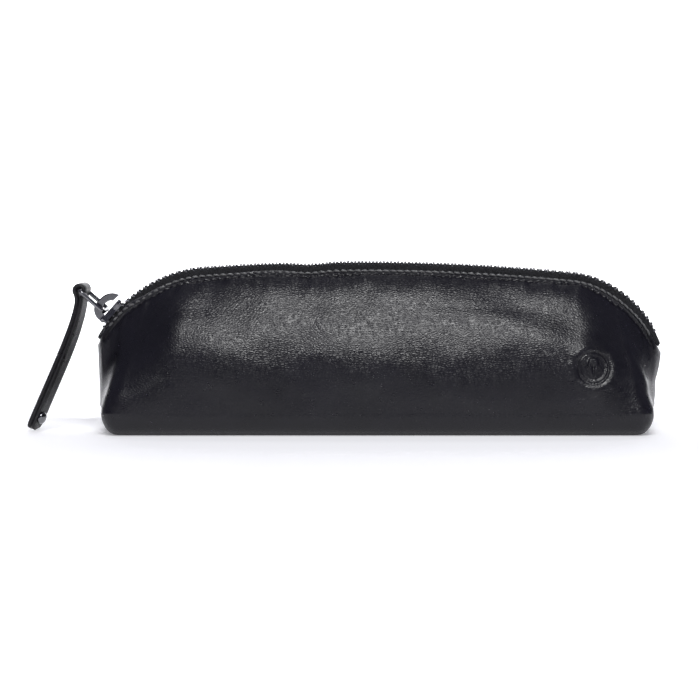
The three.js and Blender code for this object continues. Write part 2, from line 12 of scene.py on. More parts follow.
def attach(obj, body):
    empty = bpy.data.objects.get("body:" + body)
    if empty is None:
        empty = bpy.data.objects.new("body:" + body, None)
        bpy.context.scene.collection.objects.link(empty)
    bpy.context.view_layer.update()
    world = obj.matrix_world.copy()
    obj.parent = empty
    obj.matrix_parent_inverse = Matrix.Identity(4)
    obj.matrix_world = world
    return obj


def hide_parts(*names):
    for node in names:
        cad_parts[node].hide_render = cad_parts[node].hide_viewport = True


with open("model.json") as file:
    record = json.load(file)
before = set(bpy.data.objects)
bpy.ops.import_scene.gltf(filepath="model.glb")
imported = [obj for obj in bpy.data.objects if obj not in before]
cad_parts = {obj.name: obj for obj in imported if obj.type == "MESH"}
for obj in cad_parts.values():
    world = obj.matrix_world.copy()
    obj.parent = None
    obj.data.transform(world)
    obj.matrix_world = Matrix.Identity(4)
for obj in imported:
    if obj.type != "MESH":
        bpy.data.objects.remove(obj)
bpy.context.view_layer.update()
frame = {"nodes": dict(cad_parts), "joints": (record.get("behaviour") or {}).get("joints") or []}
JOINTS = {joint["name"]: joint for joint in frame["joints"]}

MM = 0.001

# Zip line: three tangent arcs in the XZ plane, with a slight dip left of the middle.
CROWN = (-7.0, 58.7)
CROWN_RADIUS = 771.6
LEFT_RADIUS, LEFT_FROM, LEFT_TO = 46.45, math.radians(151.7), math.radians(94.03)
RIGHT_RADIUS, RIGHT_FROM, RIGHT_TO = 36.8, math.radians(84.35), math.radians(18)
DIP_AT, DIP_WIDTH, DIP_DEPTH = -24.0, 6.5, 0.7
CROWN_LIFT, LIFT_FROM, LIFT_TO = 0.4, 18.0, 40.0
LEFT_SEAM_LEAN = (-0.14, -0.99)
RIGHT_SEAM_LEAN = (-0.06, -0.998)

# Pouch.
HALF_LENGTH, HALF_DEPTH, CORNER = 96.5, 24.2, 6.0
END_BOW = 1.6
SEAM_FOOT = 8.0
FLOOR_INSET, FLOOR_CORNER = 5.5, 1.5
FACET_TOP = 26.0
SEAM_CLOSE, SEAM_OPEN = 4.0, 2.5
WALL_BULGE = 1.2
WALL_ROUNDNESS = 1.3
WALL_TOP_ANGLE = math.radians(75)
LEATHER = 1.2
TURNED_EDGE = 0.75
TAPE_DEPTH, TAPE_THICK = 2.05, 0.4
LINING_DEPTH, LINING_THICK = 2.9, 0.5


# Relief of the walls: slack as waves (height, upward squeeze, wavelength, seed), the hollow between
# an end seam and the crease beside it, and two slanting folds at the right (x, height).
SLACK = [(0.34, 1.7, 46, 3), (0.1, 1.0, 15, 5)]
HOLLOW_DEPTH, CREASE_AT, CREASE_LIFT, CREASE_WIDTH = 1.1, 26.5, 0.12, 1.8
FOLDS = [(82, 0.38), (86, -0.3)]
FOLD_SLOPE, FOLD_TOP, FOLD_Z, FOLD_WIDTH = 0.7, 36, 20, 1.8
END_SWELL, END_SWELL_Z, END_SWELL_HEIGHT, END_SWELL_REACH = 0.9, 27, 7, 12

# The valley at the upper right of the front wall, and the low ridge under it.
VALLEY_X, VALLEY_Z, VALLEY_SLOPE = 36.6, 44.7, 0.38
VALLEY_DEPTH, VALLEY_RISE, VALLEY_WIDTH = 0.6, 5, 5.5
RIDGE_LIFT, RIDGE_DROP, RIDGE_WIDTH = 0.2, 3, 4

# End seams: the upright one and the level one at its foot, each a groove between low lips.
UPRIGHT_DEPTH, UPRIGHT_WIDTH, UPRIGHT_LIP, UPRIGHT_LIP_AT = 0.95, 0.75, 0.22, 1.7
LEVEL_DEPTH, LEVEL_WIDTH, LEVEL_LIP, LEVEL_FOOT_LIP, LEVEL_LIP_AT = 0.7, 0.55, 0.2, 0.25, 1.5

# Turned edge: a bead, the notches that the stitches pull in below it, and puckers.
BEAD_LIFT, BEAD_WIDTH = 0.3, 1.9
NOTCH_AT, NOTCH_DEPTH, NOTCH_PINCH, NOTCH_WIDTH = 2.8, 0.15, 0.6, 0.75
PUCKER_LIFT, PUCKER_LENGTH, PUCKER_SEED, PUCKER_REACH = 0.24, 5.5, 11, 4.5

# Stitches and zip.
STITCH_PITCH, STITCH_AT, STITCH_SLANT, THREAD = 2.5, 1.2, 0.22, 0.37
STITCH_RISE, STITCH_SINK = 0.42, 0.16
PITCH = 2.54
TEETH_START, TEETH_END = 2.5, 2.6
ROWS_PART = 1.4
START_SINK, START_REACH, END_SINK, END_REACH = 0.7, 7, 1.7, 8
SLIDER_ANGLE = math.radians(138.5)

# Seal on the front wall: a sunk field with a raised rim and pen nib, in a slightly swollen wall.
SEAL_X, SEAL_Z, SEAL_RADIUS = 75.0, 24.0, 6.1
SEAL_SINK, SEAL_RIM, SEAL_GROOVE, SEAL_SWELL, SEAL_PUCKER = 1.0, 0.5, 0.2, 0.2, 0.06
NIB_LIFT, NIB_WIDTH, NIB_TAPER = 0.65, 2.1, 0.3
NIB_TIP, NIB_WAIST, NIB_TOP, NIB_BLEND = -4.0, 0.6, 3.4, 0.2


def smooth(low, high, value):
    t = np.clip((np.asarray(value, float) - low) / (high - low), 0, 1)
    return t * t * (3 - 2 * t)


def lerp(a, b, t):
    return a + (b - a) * t


def bell(value, centre, width):
    return np.exp(-(((np.asarray(value, float) - centre) / width) ** 2))


WAVE_COUNT = 9


def waves(u, v, wavelength, seed):
    """Smooth random relief between about -1 and 1, the same on every run."""
    rng = np.random.default_rng(seed)
    total = np.zeros(np.broadcast(u, v).shape)
    for _ in range(WAVE_COUNT):
        heading = rng.uniform(0, 2 * math.pi)
        length = wavelength * rng.uniform(0.7, 1.6)
        k = 2 * math.pi / length
        total += np.sin(k * (u * math.cos(heading) + v * math.sin(heading)) + rng.uniform(0, 6.28))
    return total / math.sqrt(WAVE_COUNT)


# ---------- zip line ----------

def arc_point(centre, radius, angle):
    return centre[0] + radius * np.cos(angle), centre[1] + radius * np.sin(angle)


CROWN_CENTRE = (CROWN[0], CROWN[1] - CROWN_RADIUS)
LEFT_CENTRE = arc_point(CROWN_CENTRE, CROWN_RADIUS - LEFT_RADIUS, LEFT_TO)
RIGHT_CENTRE = arc_point(CROWN_CENTRE, CROWN_RADIUS - RIGHT_RADIUS, RIGHT_FROM)
LEFT_LENGTH = LEFT_RADIUS * (LEFT_FROM - LEFT_TO)
CROWN_LENGTH = CROWN_RADIUS * (LEFT_TO - RIGHT_FROM)
ZIP_LENGTH = LEFT_LENGTH + CROWN_LENGTH + RIGHT_RADIUS * (RIGHT_FROM - RIGHT_TO)
SLIDER_AT = LEFT_RADIUS * (LEFT_FROM - SLIDER_ANGLE)


def zip_frame(along):
    """x, z and outward normal of the zip line at lengths from its left end, and beyond its ends."""
    along = np.asarray(along, float)
    s = np.clip(along, 0, ZIP_LENGTH)
    on_left = s < LEFT_LENGTH
    on_crown = s < LEFT_LENGTH + CROWN_LENGTH

    def pick(left, crown, right):
        return np.where(on_left, left, np.where(on_crown, crown, right))

    angle = pick(
        LEFT_FROM - s / LEFT_RADIUS,
        LEFT_TO - (s - LEFT_LENGTH) / CROWN_RADIUS,
        RIGHT_FROM - (s - LEFT_LENGTH - CROWN_LENGTH) / RIGHT_RADIUS,
    )
    radius = pick(LEFT_RADIUS, CROWN_RADIUS, RIGHT_RADIUS)
    x = pick(LEFT_CENTRE[0], CROWN_CENTRE[0], RIGHT_CENTRE[0]) + radius * np.cos(angle)
    z = pick(LEFT_CENTRE[1], CROWN_CENTRE[1], RIGHT_CENTRE[1]) + radius * np.sin(angle)
    before = np.maximum(-along, 0)
    after = np.maximum(along - ZIP_LENGTH, 0)
    x = x + before * LEFT_SEAM_LEAN[0] + after * RIGHT_SEAM_LEAN[0]
    z = z + before * LEFT_SEAM_LEAN[1] + after * RIGHT_SEAM_LEAN[1]
    z = z - DIP_DEPTH * bell(x, DIP_AT, DIP_WIDTH) * (z > 50)
    lift = smooth(LIFT_FROM, LIFT_TO, along) * smooth(LIFT_FROM, LIFT_TO, ZIP_LENGTH - along)
    z = z + CROWN_LIFT * lift
    return x, z, np.cos(angle), np.sin(angle)


def zip_point(along, across, above):
    x, z, nx, nz = zip_frame(along)
    across, above = np.broadcast_arrays(across, above)
    return np.stack(np.broadcast_arrays(x + nx * above, across, z + nz * above), axis=-1)


def rows_part(along):
    """How far each row of teeth stands off the middle: apart before the slider, engaged after it."""
    return ROWS_PART * (1 - smooth(SLIDER_AT - 4.5, SLIDER_AT + 1.5, along))


# ---------- pouch surface ----------

END_STRAIGHT = HALF_DEPTH - CORNER
CORNER_LENGTH = CORNER * math.pi / 2
FACET = END_STRAIGHT + CORNER_LENGTH
FRONT = 2 * (HALF_LENGTH - CORNER)
HALF_OUTLINE = 2 * FACET + FRONT


def opened(along):
    """0 on the end seams, where the two halves meet, and 1 along the zip."""
    left = smooth(-SEAM_CLOSE, SEAM_OPEN, along)
    return left * smooth(-SEAM_CLOSE, SEAM_OPEN, ZIP_LENGTH - np.asarray(along, float))


def leather_edge(along):
    """The turned edge beside the zip: it rides up where the slider sits and at the right end."""
    open_ = opened(along)
    near_slider = 1 - smooth(15, 25, along)
    near_end = 1 - smooth(6, 22, ZIP_LENGTH - along)
    half_gap = 6.4 + 0.9 * near_slider
    above = -2.0 + 1.4 * near_slider + 0.3 * near_end
    return zip_point(along, -half_gap * open_, above * open_)


def outline(travel, half_length, half_depth, corner):
    """The front half of a rounded rectangle, from the middle of its left end round to the right."""
    flip = travel > HALF_OUTLINE / 2
    start = np.where(flip, HALF_OUTLINE - travel, travel)
    across = np.minimum(start / END_STRAIGHT, 1)
    turn = np.clip((start - END_STRAIGHT) / CORNER_LENGTH, 0, 1) * math.pi / 2
    x = -half_length - END_BOW * np.cos(across * math.pi / 2) ** 2 + corner * (1 - np.cos(turn))
    y = -(half_depth - corner) * across - corner * np.sin(turn)
    x = x + np.maximum(start - FACET, 0) * (half_length - corner) / (FRONT / 2)
    return np.where(flip, -x, x), y


def zip_above(travel):
    """The length along the zip that lies above a travel round the foot."""
    flip = travel > HALF_OUTLINE / 2
    start = np.where(flip, HALF_OUTLINE - travel, travel)
    facet = -SEAM_CLOSE + (FACET_TOP + SEAM_CLOSE) * start / FACET
    front = FACET_TOP + (ZIP_LENGTH / 2 - FACET_TOP) * (start - FACET) / (FRONT / 2)
    along = np.where(start < FACET, facet, front)
    return np.where(flip, ZIP_LENGTH - along, along)


def travel_below(along):
    """The travel round the foot that lies below a length along the zip."""
    table = np.linspace(0, HALF_OUTLINE, 4001)
    return np.interp(along, zip_above(table), table)


def wall(travel, rise):
    """The smooth outer leather from the seam feet (rise 0) to the zip edge (rise 1)."""
    foot_x, foot_y = outline(travel, HALF_LENGTH, HALF_DEPTH, CORNER)
    edge = leather_edge(zip_above(travel))
    from_end = np.minimum(travel, HALF_OUTLINE - travel)
    round_ = smooth(END_STRAIGHT, FACET + 18, from_end)
    turn = rise * WALL_TOP_ANGLE
    least = math.cos(WALL_TOP_ANGLE) ** WALL_ROUNDNESS
    inward = 1 - (np.cos(turn) ** WALL_ROUNDNESS - least) / (1 - least)
    height = lerp(rise, np.sin(turn) / math.sin(WALL_TOP_ANGLE), round_)
    bulge = WALL_BULGE * np.sin(math.pi * np.minimum(rise * 1.6, 1)) * round_
    return np.stack([
        lerp(foot_x, edge[..., 0], height),
        lerp(foot_y, edge[..., 1], lerp(rise, inward, round_)) - bulge,
        lerp(SEAM_FOOT, edge[..., 2], height),
    ], axis=-1)


def hem(travel, turn):
    """The outer leather from the seam feet (turn 0) round to the floor (turn 1)."""
    foot_x, foot_y = outline(travel, HALF_LENGTH, HALF_DEPTH, CORNER)
    floor_x, floor_y = outline(travel, HALF_LENGTH - FLOOR_INSET, HALF_DEPTH - FLOOR_INSET, FLOOR_CORNER)
    out = np.cos(turn * math.pi / 2)
    return np.stack([
        lerp(floor_x, foot_x, out),
        lerp(floor_y, foot_y, out),
        SEAM_FOOT * (1 - np.sin(turn * math.pi / 2)) + 0 * travel,
    ], axis=-1)


def wall_length(travel):
    points = wall(travel[:, None], np.linspace(0, 1, 25)[None, :])
    return np.linalg.norm(np.diff(points, axis=1), axis=2).sum(axis=1)


def normals_of(points):
    """Outward normals of a grid whose first index runs to the right and second one upward."""
    right = np.gradient(points, axis=0)
    up = np.gradient(points, axis=1)
    normal = np.cross(right, up)
    length = np.linalg.norm(normal, axis=2, keepdims=True)
    return normal / np.maximum(length, 1e-9)


def nib_mask(x, z):
    """1 inside a plain pen-nib shape pointing down, 0 outside, with its slit and hole left out."""
    shoulder = NIB_WIDTH - NIB_TAPER * (z - NIB_WAIST)
    point = NIB_WIDTH * np.clip((z - NIB_TIP) / (NIB_WAIST - NIB_TIP), 0, 1) ** 0.8
    body = smooth(-0.25, 0.25, np.where(z > NIB_WAIST, shoulder, point) - np.abs(x))
    body = body * smooth(NIB_TIP - NIB_BLEND, NIB_TIP + NIB_BLEND, z)
    body = body * (1 - smooth(NIB_TOP - NIB_BLEND, NIB_TOP + NIB_BLEND, z))
    slit = bell(x, 0, 0.3) * (z < 0.3)
    hole = 1 - smooth(0.45, 0.75, np.hypot(x, z - 0.5))
    return body * (1 - np.clip(slit + hole, 0, 1))


def seal_relief(points, side):
    """Height of the seal's relief on the front wall, and none on the back one."""
    if side > 0:
        return 0
    x = points[..., 0] - SEAL_X
    z = points[..., 2] - SEAL_Z
    r = np.hypot(x, z)
    field = -SEAL_SINK * (1 - smooth(SEAL_RADIUS - 0.6, SEAL_RADIUS, r))
    rim = SEAL_RIM * bell(r, SEAL_RADIUS - 1.2, 0.33)
    groove = -SEAL_GROOVE * bell(r, SEAL_RADIUS + 0.2, 0.5)
    swell = SEAL_SWELL * bell(r, SEAL_RADIUS + 1.6, 1.6)
    angle = np.arctan2(z, x)
    gathers = np.sin(angle * 11 + 2 * np.sin(angle * 2))
    pucker = SEAL_PUCKER * gathers * bell(r, SEAL_RADIUS + 2.4, 1.5)
    return field + rim + groove + swell + pucker + NIB_LIFT * nib_mask(x, z)


def edge_relief(along, below):
    """The turned, stitched edge: a bead pinched at each stitch, then puckers fading into the wall."""
    pinch = 0.5 + 0.5 * np.cos(2 * math.pi * along / STITCH_PITCH)
    bead = BEAD_LIFT * (1 + pinch) * np.sin(math.pi * np.clip(below / BEAD_WIDTH, 0, 1)) ** 0.7
    notch = -(NOTCH_DEPTH + NOTCH_PINCH * (1 - pinch)) * bell(below, NOTCH_AT, NOTCH_WIDTH)
    fade = smooth(2.2, 3.6, below) * np.exp(-np.maximum(below - 3, 0) / PUCKER_REACH)
    pucker = PUCKER_LIFT * waves(along, below * 0.25, PUCKER_LENGTH, PUCKER_SEED) * fade
    return (bead + notch + pucker) * smooth(-1, 4, along) * smooth(-1, 4, ZIP_LENGTH - along)


def end_seams(points, travel):
    """Grooves of the upright seam and of the T seam at each end."""
    from_end = np.minimum(travel, HALF_OUTLINE - travel)
    across = np.abs(points[..., 1])
    z = points[..., 2]
    upright = -UPRIGHT_DEPTH * bell(across, 0, UPRIGHT_WIDTH)
    upright = upright + UPRIGHT_LIP * bell(across, UPRIGHT_LIP_AT, 0.8)
    upright = upright * smooth(SEAM_FOOT - 1, SEAM_FOOT + 0.5, z)
    reach = 1 - smooth(END_STRAIGHT - 5, END_STRAIGHT + 3, from_end)
    level = -LEVEL_DEPTH * bell(z, SEAM_FOOT, LEVEL_WIDTH)
    level = level + LEVEL_LIP * bell(z, SEAM_FOOT + LEVEL_LIP_AT, 0.8)
    level = level + LEVEL_FOOT_LIP * bell(z, SEAM_FOOT - LEVEL_LIP_AT, 0.9)
    return upright * (1 - smooth(3, 6, from_end)) + level * reach


def body_relief(points, travel):
    """Soft hollows and slack of the leather walls."""
    x, y, z = points[..., 0], points[..., 1], points[..., 2]
    from_end = np.minimum(travel, HALF_OUTLINE - travel)
    inside = smooth(2, 14, from_end) * smooth(6, 14, z)
    shift = np.where(y < 0, 0.0, 300.0)
    slack = sum(
        height * waves(x + shift, z * squeeze, wavelength, seed)
        for height, squeeze, wavelength, seed in SLACK
    )
    facet = np.clip(from_end / CREASE_AT, 0, 1)
    tall = smooth(9, 16, z) * (1 - smooth(40, 52, z))
    hollow = -HOLLOW_DEPTH * np.sin(math.pi * facet) ** 1.3 * (facet < 1)
    crease = CREASE_LIFT * bell(from_end, CREASE_AT, CREASE_WIDTH)
    folds = sum(
        height * bell(x - fold_x - (FOLD_TOP - z) * FOLD_SLOPE, 0, FOLD_WIDTH)
        for fold_x, height in FOLDS
    )
    folds = folds * bell(z, FOLD_Z, 8) * (x > 0)
    end_swell = END_SWELL * bell(z, END_SWELL_Z, END_SWELL_HEIGHT) * bell(from_end, 0, END_SWELL_REACH)
    above_line = z - VALLEY_Z + VALLEY_SLOPE * (x - VALLEY_X)
    valley = -VALLEY_DEPTH * bell(above_line, VALLEY_RISE, VALLEY_WIDTH)
    valley = valley + RIDGE_LIFT * bell(above_line, -RIDGE_DROP, RIDGE_WIDTH)
    valley = valley * smooth(15, 50, x) * (1 - smooth(78, 90, x)) * (y < 0)
    return slack * inside + (hollow + crease) * tall + folds + end_swell * (x > 0) + valley


FAR_BELOW = 99.0


def outer_leather(travel, rows, side):
    """Grid of the finished outer leather, one column per travel and its rows upward from the floor,
    then the same grid and its normals without relief."""
    column = travel[:, None]
    hems, walls, below = rows
    low = hem(column, hems[None, :])
    high = wall(column, walls)
    smooth_points = np.concatenate([low, high], axis=1)
    normal = normals_of(smooth_points)
    along = zip_above(column) + 0 * smooth_points[..., 0]
    depth_below = np.concatenate([np.full(low.shape[:2], FAR_BELOW), below], axis=1)
    signed = smooth_points * np.array([1, -side, 1])
    relief = edge_relief(along, depth_below)
    relief = relief + end_seams(smooth_points, column) + body_relief(signed, column)
    relief = relief + seal_relief(smooth_points, side)
    relief = relief * smooth(0, 2.5, smooth_points[..., 2])
    points = smooth_points + normal * relief[..., None]
    points[..., 2] = np.maximum(points[..., 2], 0)
    return points, smooth_points, normal


def column_steps():
    """Travels of the grid's columns: fine at the end seams and under the seal."""
    seam = [0, 0.2, 0.45, 0.75, 1.1, 1.5, 1.95, 2.5, 3.2]
    facet = list(np.linspace(4, FACET, 32)[:-1])
    front = list(np.arange(FACET, FACET + FRONT / 2, 0.68))
    left = np.array(seam + facet + front)
    columns = np.concatenate([left, [HALF_OUTLINE / 2], (HALF_OUTLINE - left)[::-1]])
    past_corner = (FRONT / 2) * (HALF_LENGTH - SEAL_X - CORNER) / (HALF_LENGTH - CORNER)
    seal_at = HALF_OUTLINE - (FACET + past_corner)
    fine = np.arange(seal_at - 8, seal_at + 8, 0.34)
    columns = columns[(columns < fine[0] - 0.2) | (columns > fine[-1] + 0.2)]
    return np.unique(np.concatenate([columns, fine]))


HEM_TURNS = [1, 0.85, 0.7, 0.56, 0.44, 0.34, 0.26, 0.2, 0.15, 0.11, 0.075, 0.045, 0.02]
ROWS_ABOVE_SEAM = [0, 0.35, 0.7, 1.05, 1.4, 1.85, 2.4, 3.1, 4.0, 5.0]
ROWS_BELOW_EDGE = [6.4, 5.2, 4.3, 3.6, 3.1, 2.75, 2.45, 2.2, 1.95, 1.7, 1.4, 1.1, 0.8, 0.5, 0.25, 0]
SHORT_WALL = 22


def row_steps(travel):
    """Hem turns, then wall rises with their distance below the zip edge, for each column."""
    hems = np.array(HEM_TURNS)
    length = wall_length(travel)[:, None]
    low = np.array(ROWS_ABOVE_SEAM)[None, :]
    top = np.array(ROWS_BELOW_EDGE)[None, :]
    seal_rows = np.linspace(0.02, 0.46, 46)
    rest_rows = np.linspace(0.46, 0.985, 22)[1:]
    middle = np.concatenate([seal_rows, rest_rows])[None, :]
    squeeze = np.minimum(1, length / SHORT_WALL)
    distance = np.concatenate([
        low * squeeze,
        lerp(low[0, -1] * squeeze, length - top[0, 0] * squeeze, middle),
        length - top * squeeze,
    ], axis=1)
    return hems, distance / length, length - distance


# ---------- mesh helpers ----------

def make_object(name, points, faces, material):
    """A smooth-shaded object from millimetre points, with doubles welded and faces turned outward."""
    mesh = bpy.data.meshes.new(name)
    mesh.from_pydata((np.asarray(points, float) * MM).tolist(), [], faces)
    weld(mesh)
    mesh.polygons.foreach_set("use_smooth", [True] * len(mesh.polygons))
    mesh.materials.append(material)
    piece = bpy.data.objects.new(name, mesh)
    bpy.context.scene.collection.objects.link(piece)
    return piece


WELD_M, DEGENERATE_M = 2e-6, 1e-7


def weld(mesh):
    work = bmesh.new()
    work.from_mesh(mesh)
    bmesh.ops.remove_doubles(work, verts=work.verts, dist=WELD_M)
    bmesh.ops.dissolve_degenerate(work, edges=work.edges, dist=DEGENERATE_M)
    bmesh.ops.recalc_face_normals(work, faces=work.faces)
    work.to_mesh(mesh)
    work.free()


def grid_faces(rows, columns, wrap=False, flip=False):
    """Quads of a rows x columns grid of points, wrapping its columns into a tube if asked."""
    row = np.arange(rows - 1)[:, None] * columns
    above = row + columns
    here = np.arange(columns if wrap else columns - 1)[None, :]
    beside = (here + 1) % columns
    quads = np.stack([row + here, row + beside, above + beside, above + here], axis=-1).reshape(-1, 4)
    return (quads[:, ::-1] if flip else quads).tolist()


def circle(count):
    return np.linspace(0, 2 * math.pi, count, endpoint=False)


def unit_rows(vectors):
    return vectors / np.linalg.norm(vectors, axis=1, keepdims=True)


def tube(sections):
    """Points and faces of a closed tube through rings of points, with flat ends."""
    sections = np.asarray(sections, float)
    rows, columns = sections.shape[:2]
    faces = grid_faces(rows, columns, wrap=True)
    faces.append(list(range(columns))[::-1])
    faces.append(list(range((rows - 1) * columns, rows * columns)))
    return sections.reshape(-1, 3), faces


SIDES = {-1: "front", 1: "back"}


def on_side(points, side):
    return points * [1, -side, 1]


class Heap:
    """Gathers many small closed shapes into one mesh."""

    def __init__(self):
        self.points = []
        self.faces = []
        self.count = 0

    def add(self, points, faces):
        self.points.append(np.asarray(points, float))
        self.faces.extend([index + self.count for index in face] for face in faces)
        self.count += len(points)

    def make(self, name, material):
        return make_object(name, np.concatenate(self.points), self.faces, material)


def place(piece, body, slot, *nodes):
    """Puts a piece on its body and hides the CAD nodes that it stands for. Its material slot is not used."""
    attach(piece, body)
    if nodes:
        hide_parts(*nodes)
    return piece


# ---------- materials ----------

class Shader:
    """A node material built around one Principled shader."""

    def __init__(self, name, **values):
        self.material = bpy.data.materials.new(name)
        self.material.use_nodes = True
        self.nodes = self.material.node_tree.nodes
        self.links = self.material.node_tree.links
        self.principled = self.nodes["Principled BSDF"]
        for key, value in values.items():
            self.principled.inputs[key.replace("_", " ")].default_value = value
        self.coordinates = self.nodes.new("ShaderNodeTexCoord").outputs["Object"]

    def stretched(self, scale, shift=(0, 0, 0)):
        mapping = self.nodes.new("ShaderNodeMapping")
        mapping.inputs["Scale"].default_value = scale
        mapping.inputs["Location"].default_value = shift
        self.links.new(self.coordinates, mapping.inputs["Vector"])
        return mapping.outputs["Vector"]

    def noise(self, size, detail, vector=None, roughness=0.55, distortion=0.0):
        """Noise whose features are about size millimetres across."""
        node = self.nodes.new("ShaderNodeTexNoise")
        node.inputs["Scale"].default_value = 1 / (size * MM)
        node.inputs["Detail"].default_value = detail
        node.inputs["Roughness"].default_value = roughness
        node.inputs["Distortion"].default_value = distortion
        self.links.new(vector or self.coordinates, node.inputs["Vector"])
        return node.outputs["Fac"]

    def cells(self, size, vector, feature="DISTANCE_TO_EDGE"):
        """Distances in a net of cells about size millimetres across."""
        node = self.nodes.new("ShaderNodeTexVoronoi")
        node.feature = feature
        node.inputs["Scale"].default_value = 1 / (size * MM)
        self.links.new(vector, node.inputs["Vector"])
        return node.outputs["Distance"]

    def ramp(self, value, stops):
        node = self.nodes.new("ShaderNodeValToRGB")
        elements = node.color_ramp.elements
        while len(elements) < len(stops):
            elements.new(0.5)
        for element, (position, colour) in zip(elements, stops):
            element.position = position
            element.color = (*colour, 1)
        self.links.new(value, node.inputs["Fac"])
        return node.outputs["Color"]

    def spread(self, value, low, high, from_low, from_high):
        node = self.nodes.new("ShaderNodeMapRange")
        node.inputs["From Min"].default_value = from_low
        node.inputs["From Max"].default_value = from_high
        node.inputs["To Min"].default_value = low
        node.inputs["To Max"].default_value = high
        self.links.new(value, node.inputs["Value"])
        return node.outputs["Result"]

    def bump(self, height, distance, strength, normal=None):
        node = self.nodes.new("ShaderNodeBump")
        node.inputs["Strength"].default_value = strength
        node.inputs["Distance"].default_value = distance * MM
        self.links.new(height, node.inputs["Height"])
        if normal is not None:
            self.links.new(normal, node.inputs["Normal"])
        return node.outputs["Normal"]

    def set(self, socket, output):
        self.links.new(output, self.principled.inputs[socket])


def grey(level):
    return (level, level, level)


LEATHER_SPECULAR, LEATHER_ROUGHNESS = 0.42, (0.26, 0.36)
WRINKLE_SIZE, WRINKLE_BUMP = 2.6, 0.11
PORE_SIZE, PORE_BUMP = 0.35, 0.013
GRAIN_BUMP = 0.05


def leather_material(name, dark, light, grain):
    """Polished leather: soft wrinkles, a net of creases grain millimetres wide, and pores."""
    shader = Shader(name, Specular_IOR_Level=LEATHER_SPECULAR)
    tone = shader.noise(14, 4)
    shader.set("Base Color", shader.ramp(tone, [(0.3, dark), (0.7, light)]))
    shader.set("Roughness", shader.spread(shader.noise(3.0, 4), *LEATHER_ROUGHNESS, 0.3, 0.7))
    slanted = shader.stretched((0.72, 1.0, 1.25))
    creases = shader.spread(shader.cells(grain, slanted), 0, 1, 0.0, 0.35)
    pores = shader.noise(PORE_SIZE, 3)
    wrinkles = shader.noise(WRINKLE_SIZE, 5, shader.stretched((0.45, 1.0, 1.5)), 0.65, 0.6)
    normal = shader.bump(wrinkles, WRINKLE_BUMP, 0.5)
    normal = shader.bump(creases, GRAIN_BUMP, 0.9, normal)
    shader.set("Normal", shader.bump(pores, PORE_BUMP, 0.5, normal))
    return shader.material


def metal_material(name, colour, roughness):
    """Plated metal with smudges, slightly uneven in polish."""
    shader = Shader(name, Metallic=1.0)
    smudge = shader.noise(4.0, 3)
    smudged = tuple(channel * 0.82 for channel in colour)
    shader.set("Base Color", shader.ramp(smudge, [(0.3, smudged), (0.7, colour)]))
    polish = shader.spread(shader.noise(1.2, 4), roughness * 0.75, roughness * 1.5, 0.3, 0.7)
    shader.set("Roughness", polish)
    shader.set("Normal", shader.bump(shader.noise(0.5, 2), 0.01, 0.3))
    return shader.material


def thread_material():
    shader = Shader("Waxed thread with painted highlight", Roughness=0.38, Specular_IOR_Level=0.6)
    # The thread's grey is far lighter than the black thread itself: it is a painted highlight along the
    # stitch line, varied at random by noise.
    shader.set("Base Color", shader.ramp(shader.noise(0.9, 2), [(0.3, grey(0.07)), (0.7, grey(0.15))]))
    shader.set("Normal", shader.bump(shader.noise(0.2, 2), 0.05, 0.6))
    return shader.material


def textile_material(name, dark, light):
    """Matt weave with raised threads."""
    shader = Shader(name, Roughness=0.9, Specular_IOR_Level=0.25)
    weave = shader.cells(WEAVE_THREAD, shader.stretched((1.0, 1.0, 0.55)), "F1")
    shader.set("Base Color", shader.ramp(weave, [(0.15, light), (0.75, dark)]))
    shader.set("Normal", shader.bump(weave, WEAVE_THREAD * 0.35, 0.8))
    return shader.material


def card_material():
    shader = Shader("Stiffener card", Roughness=0.9)
    fibres = [(0.35, (0.2, 0.15, 0.1)), (0.65, (0.33, 0.26, 0.18))]
    shader.set("Base Color", shader.ramp(shader.noise(1.5, 6), fibres))
    shader.set("Normal", shader.bump(shader.noise(0.4, 4), 0.05, 0.5))
    return shader.material


WEAVE_THREAD = 0.4
BLACK_LEATHER = leather_material(
    "Black grained leather", (0.005, 0.0046, 0.0072), (0.0085, 0.0078, 0.0118), 0.8)
STRAP_LEATHER = leather_material("Strap leather", (0.007, 0.0065, 0.0075), (0.013, 0.0125, 0.014), 0.6)
THREAD_MATERIAL = thread_material()
TAPE_MATERIAL = textile_material("Zip tape weave", (0.007, 0.007, 0.0078), (0.03, 0.03, 0.033))
LINING_MATERIAL = textile_material("Lining weave", (0.01, 0.01, 0.011), (0.03, 0.03, 0.032))
TEETH_METAL = metal_material("Black nickel teeth", (0.13, 0.13, 0.137), 0.2)
BRIGHT_METAL = metal_material("Polished black nickel", (0.2, 0.2, 0.21), 0.16)
CARD = card_material()


# ---------- leather body ----------

# Rows of the outer grid that the inner wall follows, counted down from the zip edge: the leather is
# folded double at the first two.
INNER_ROWS = [-4, -8, -12, -20, -30, -44, -60]


def floor_spine(points):
    """The floor's middle line under a row of points, as if the ends were mitred."""
    x = np.clip(points[:, 0], HALF_DEPTH - HALF_LENGTH, HALF_LENGTH - HALF_DEPTH)
    return np.stack([x, 0 * x, 0 * x], axis=1)


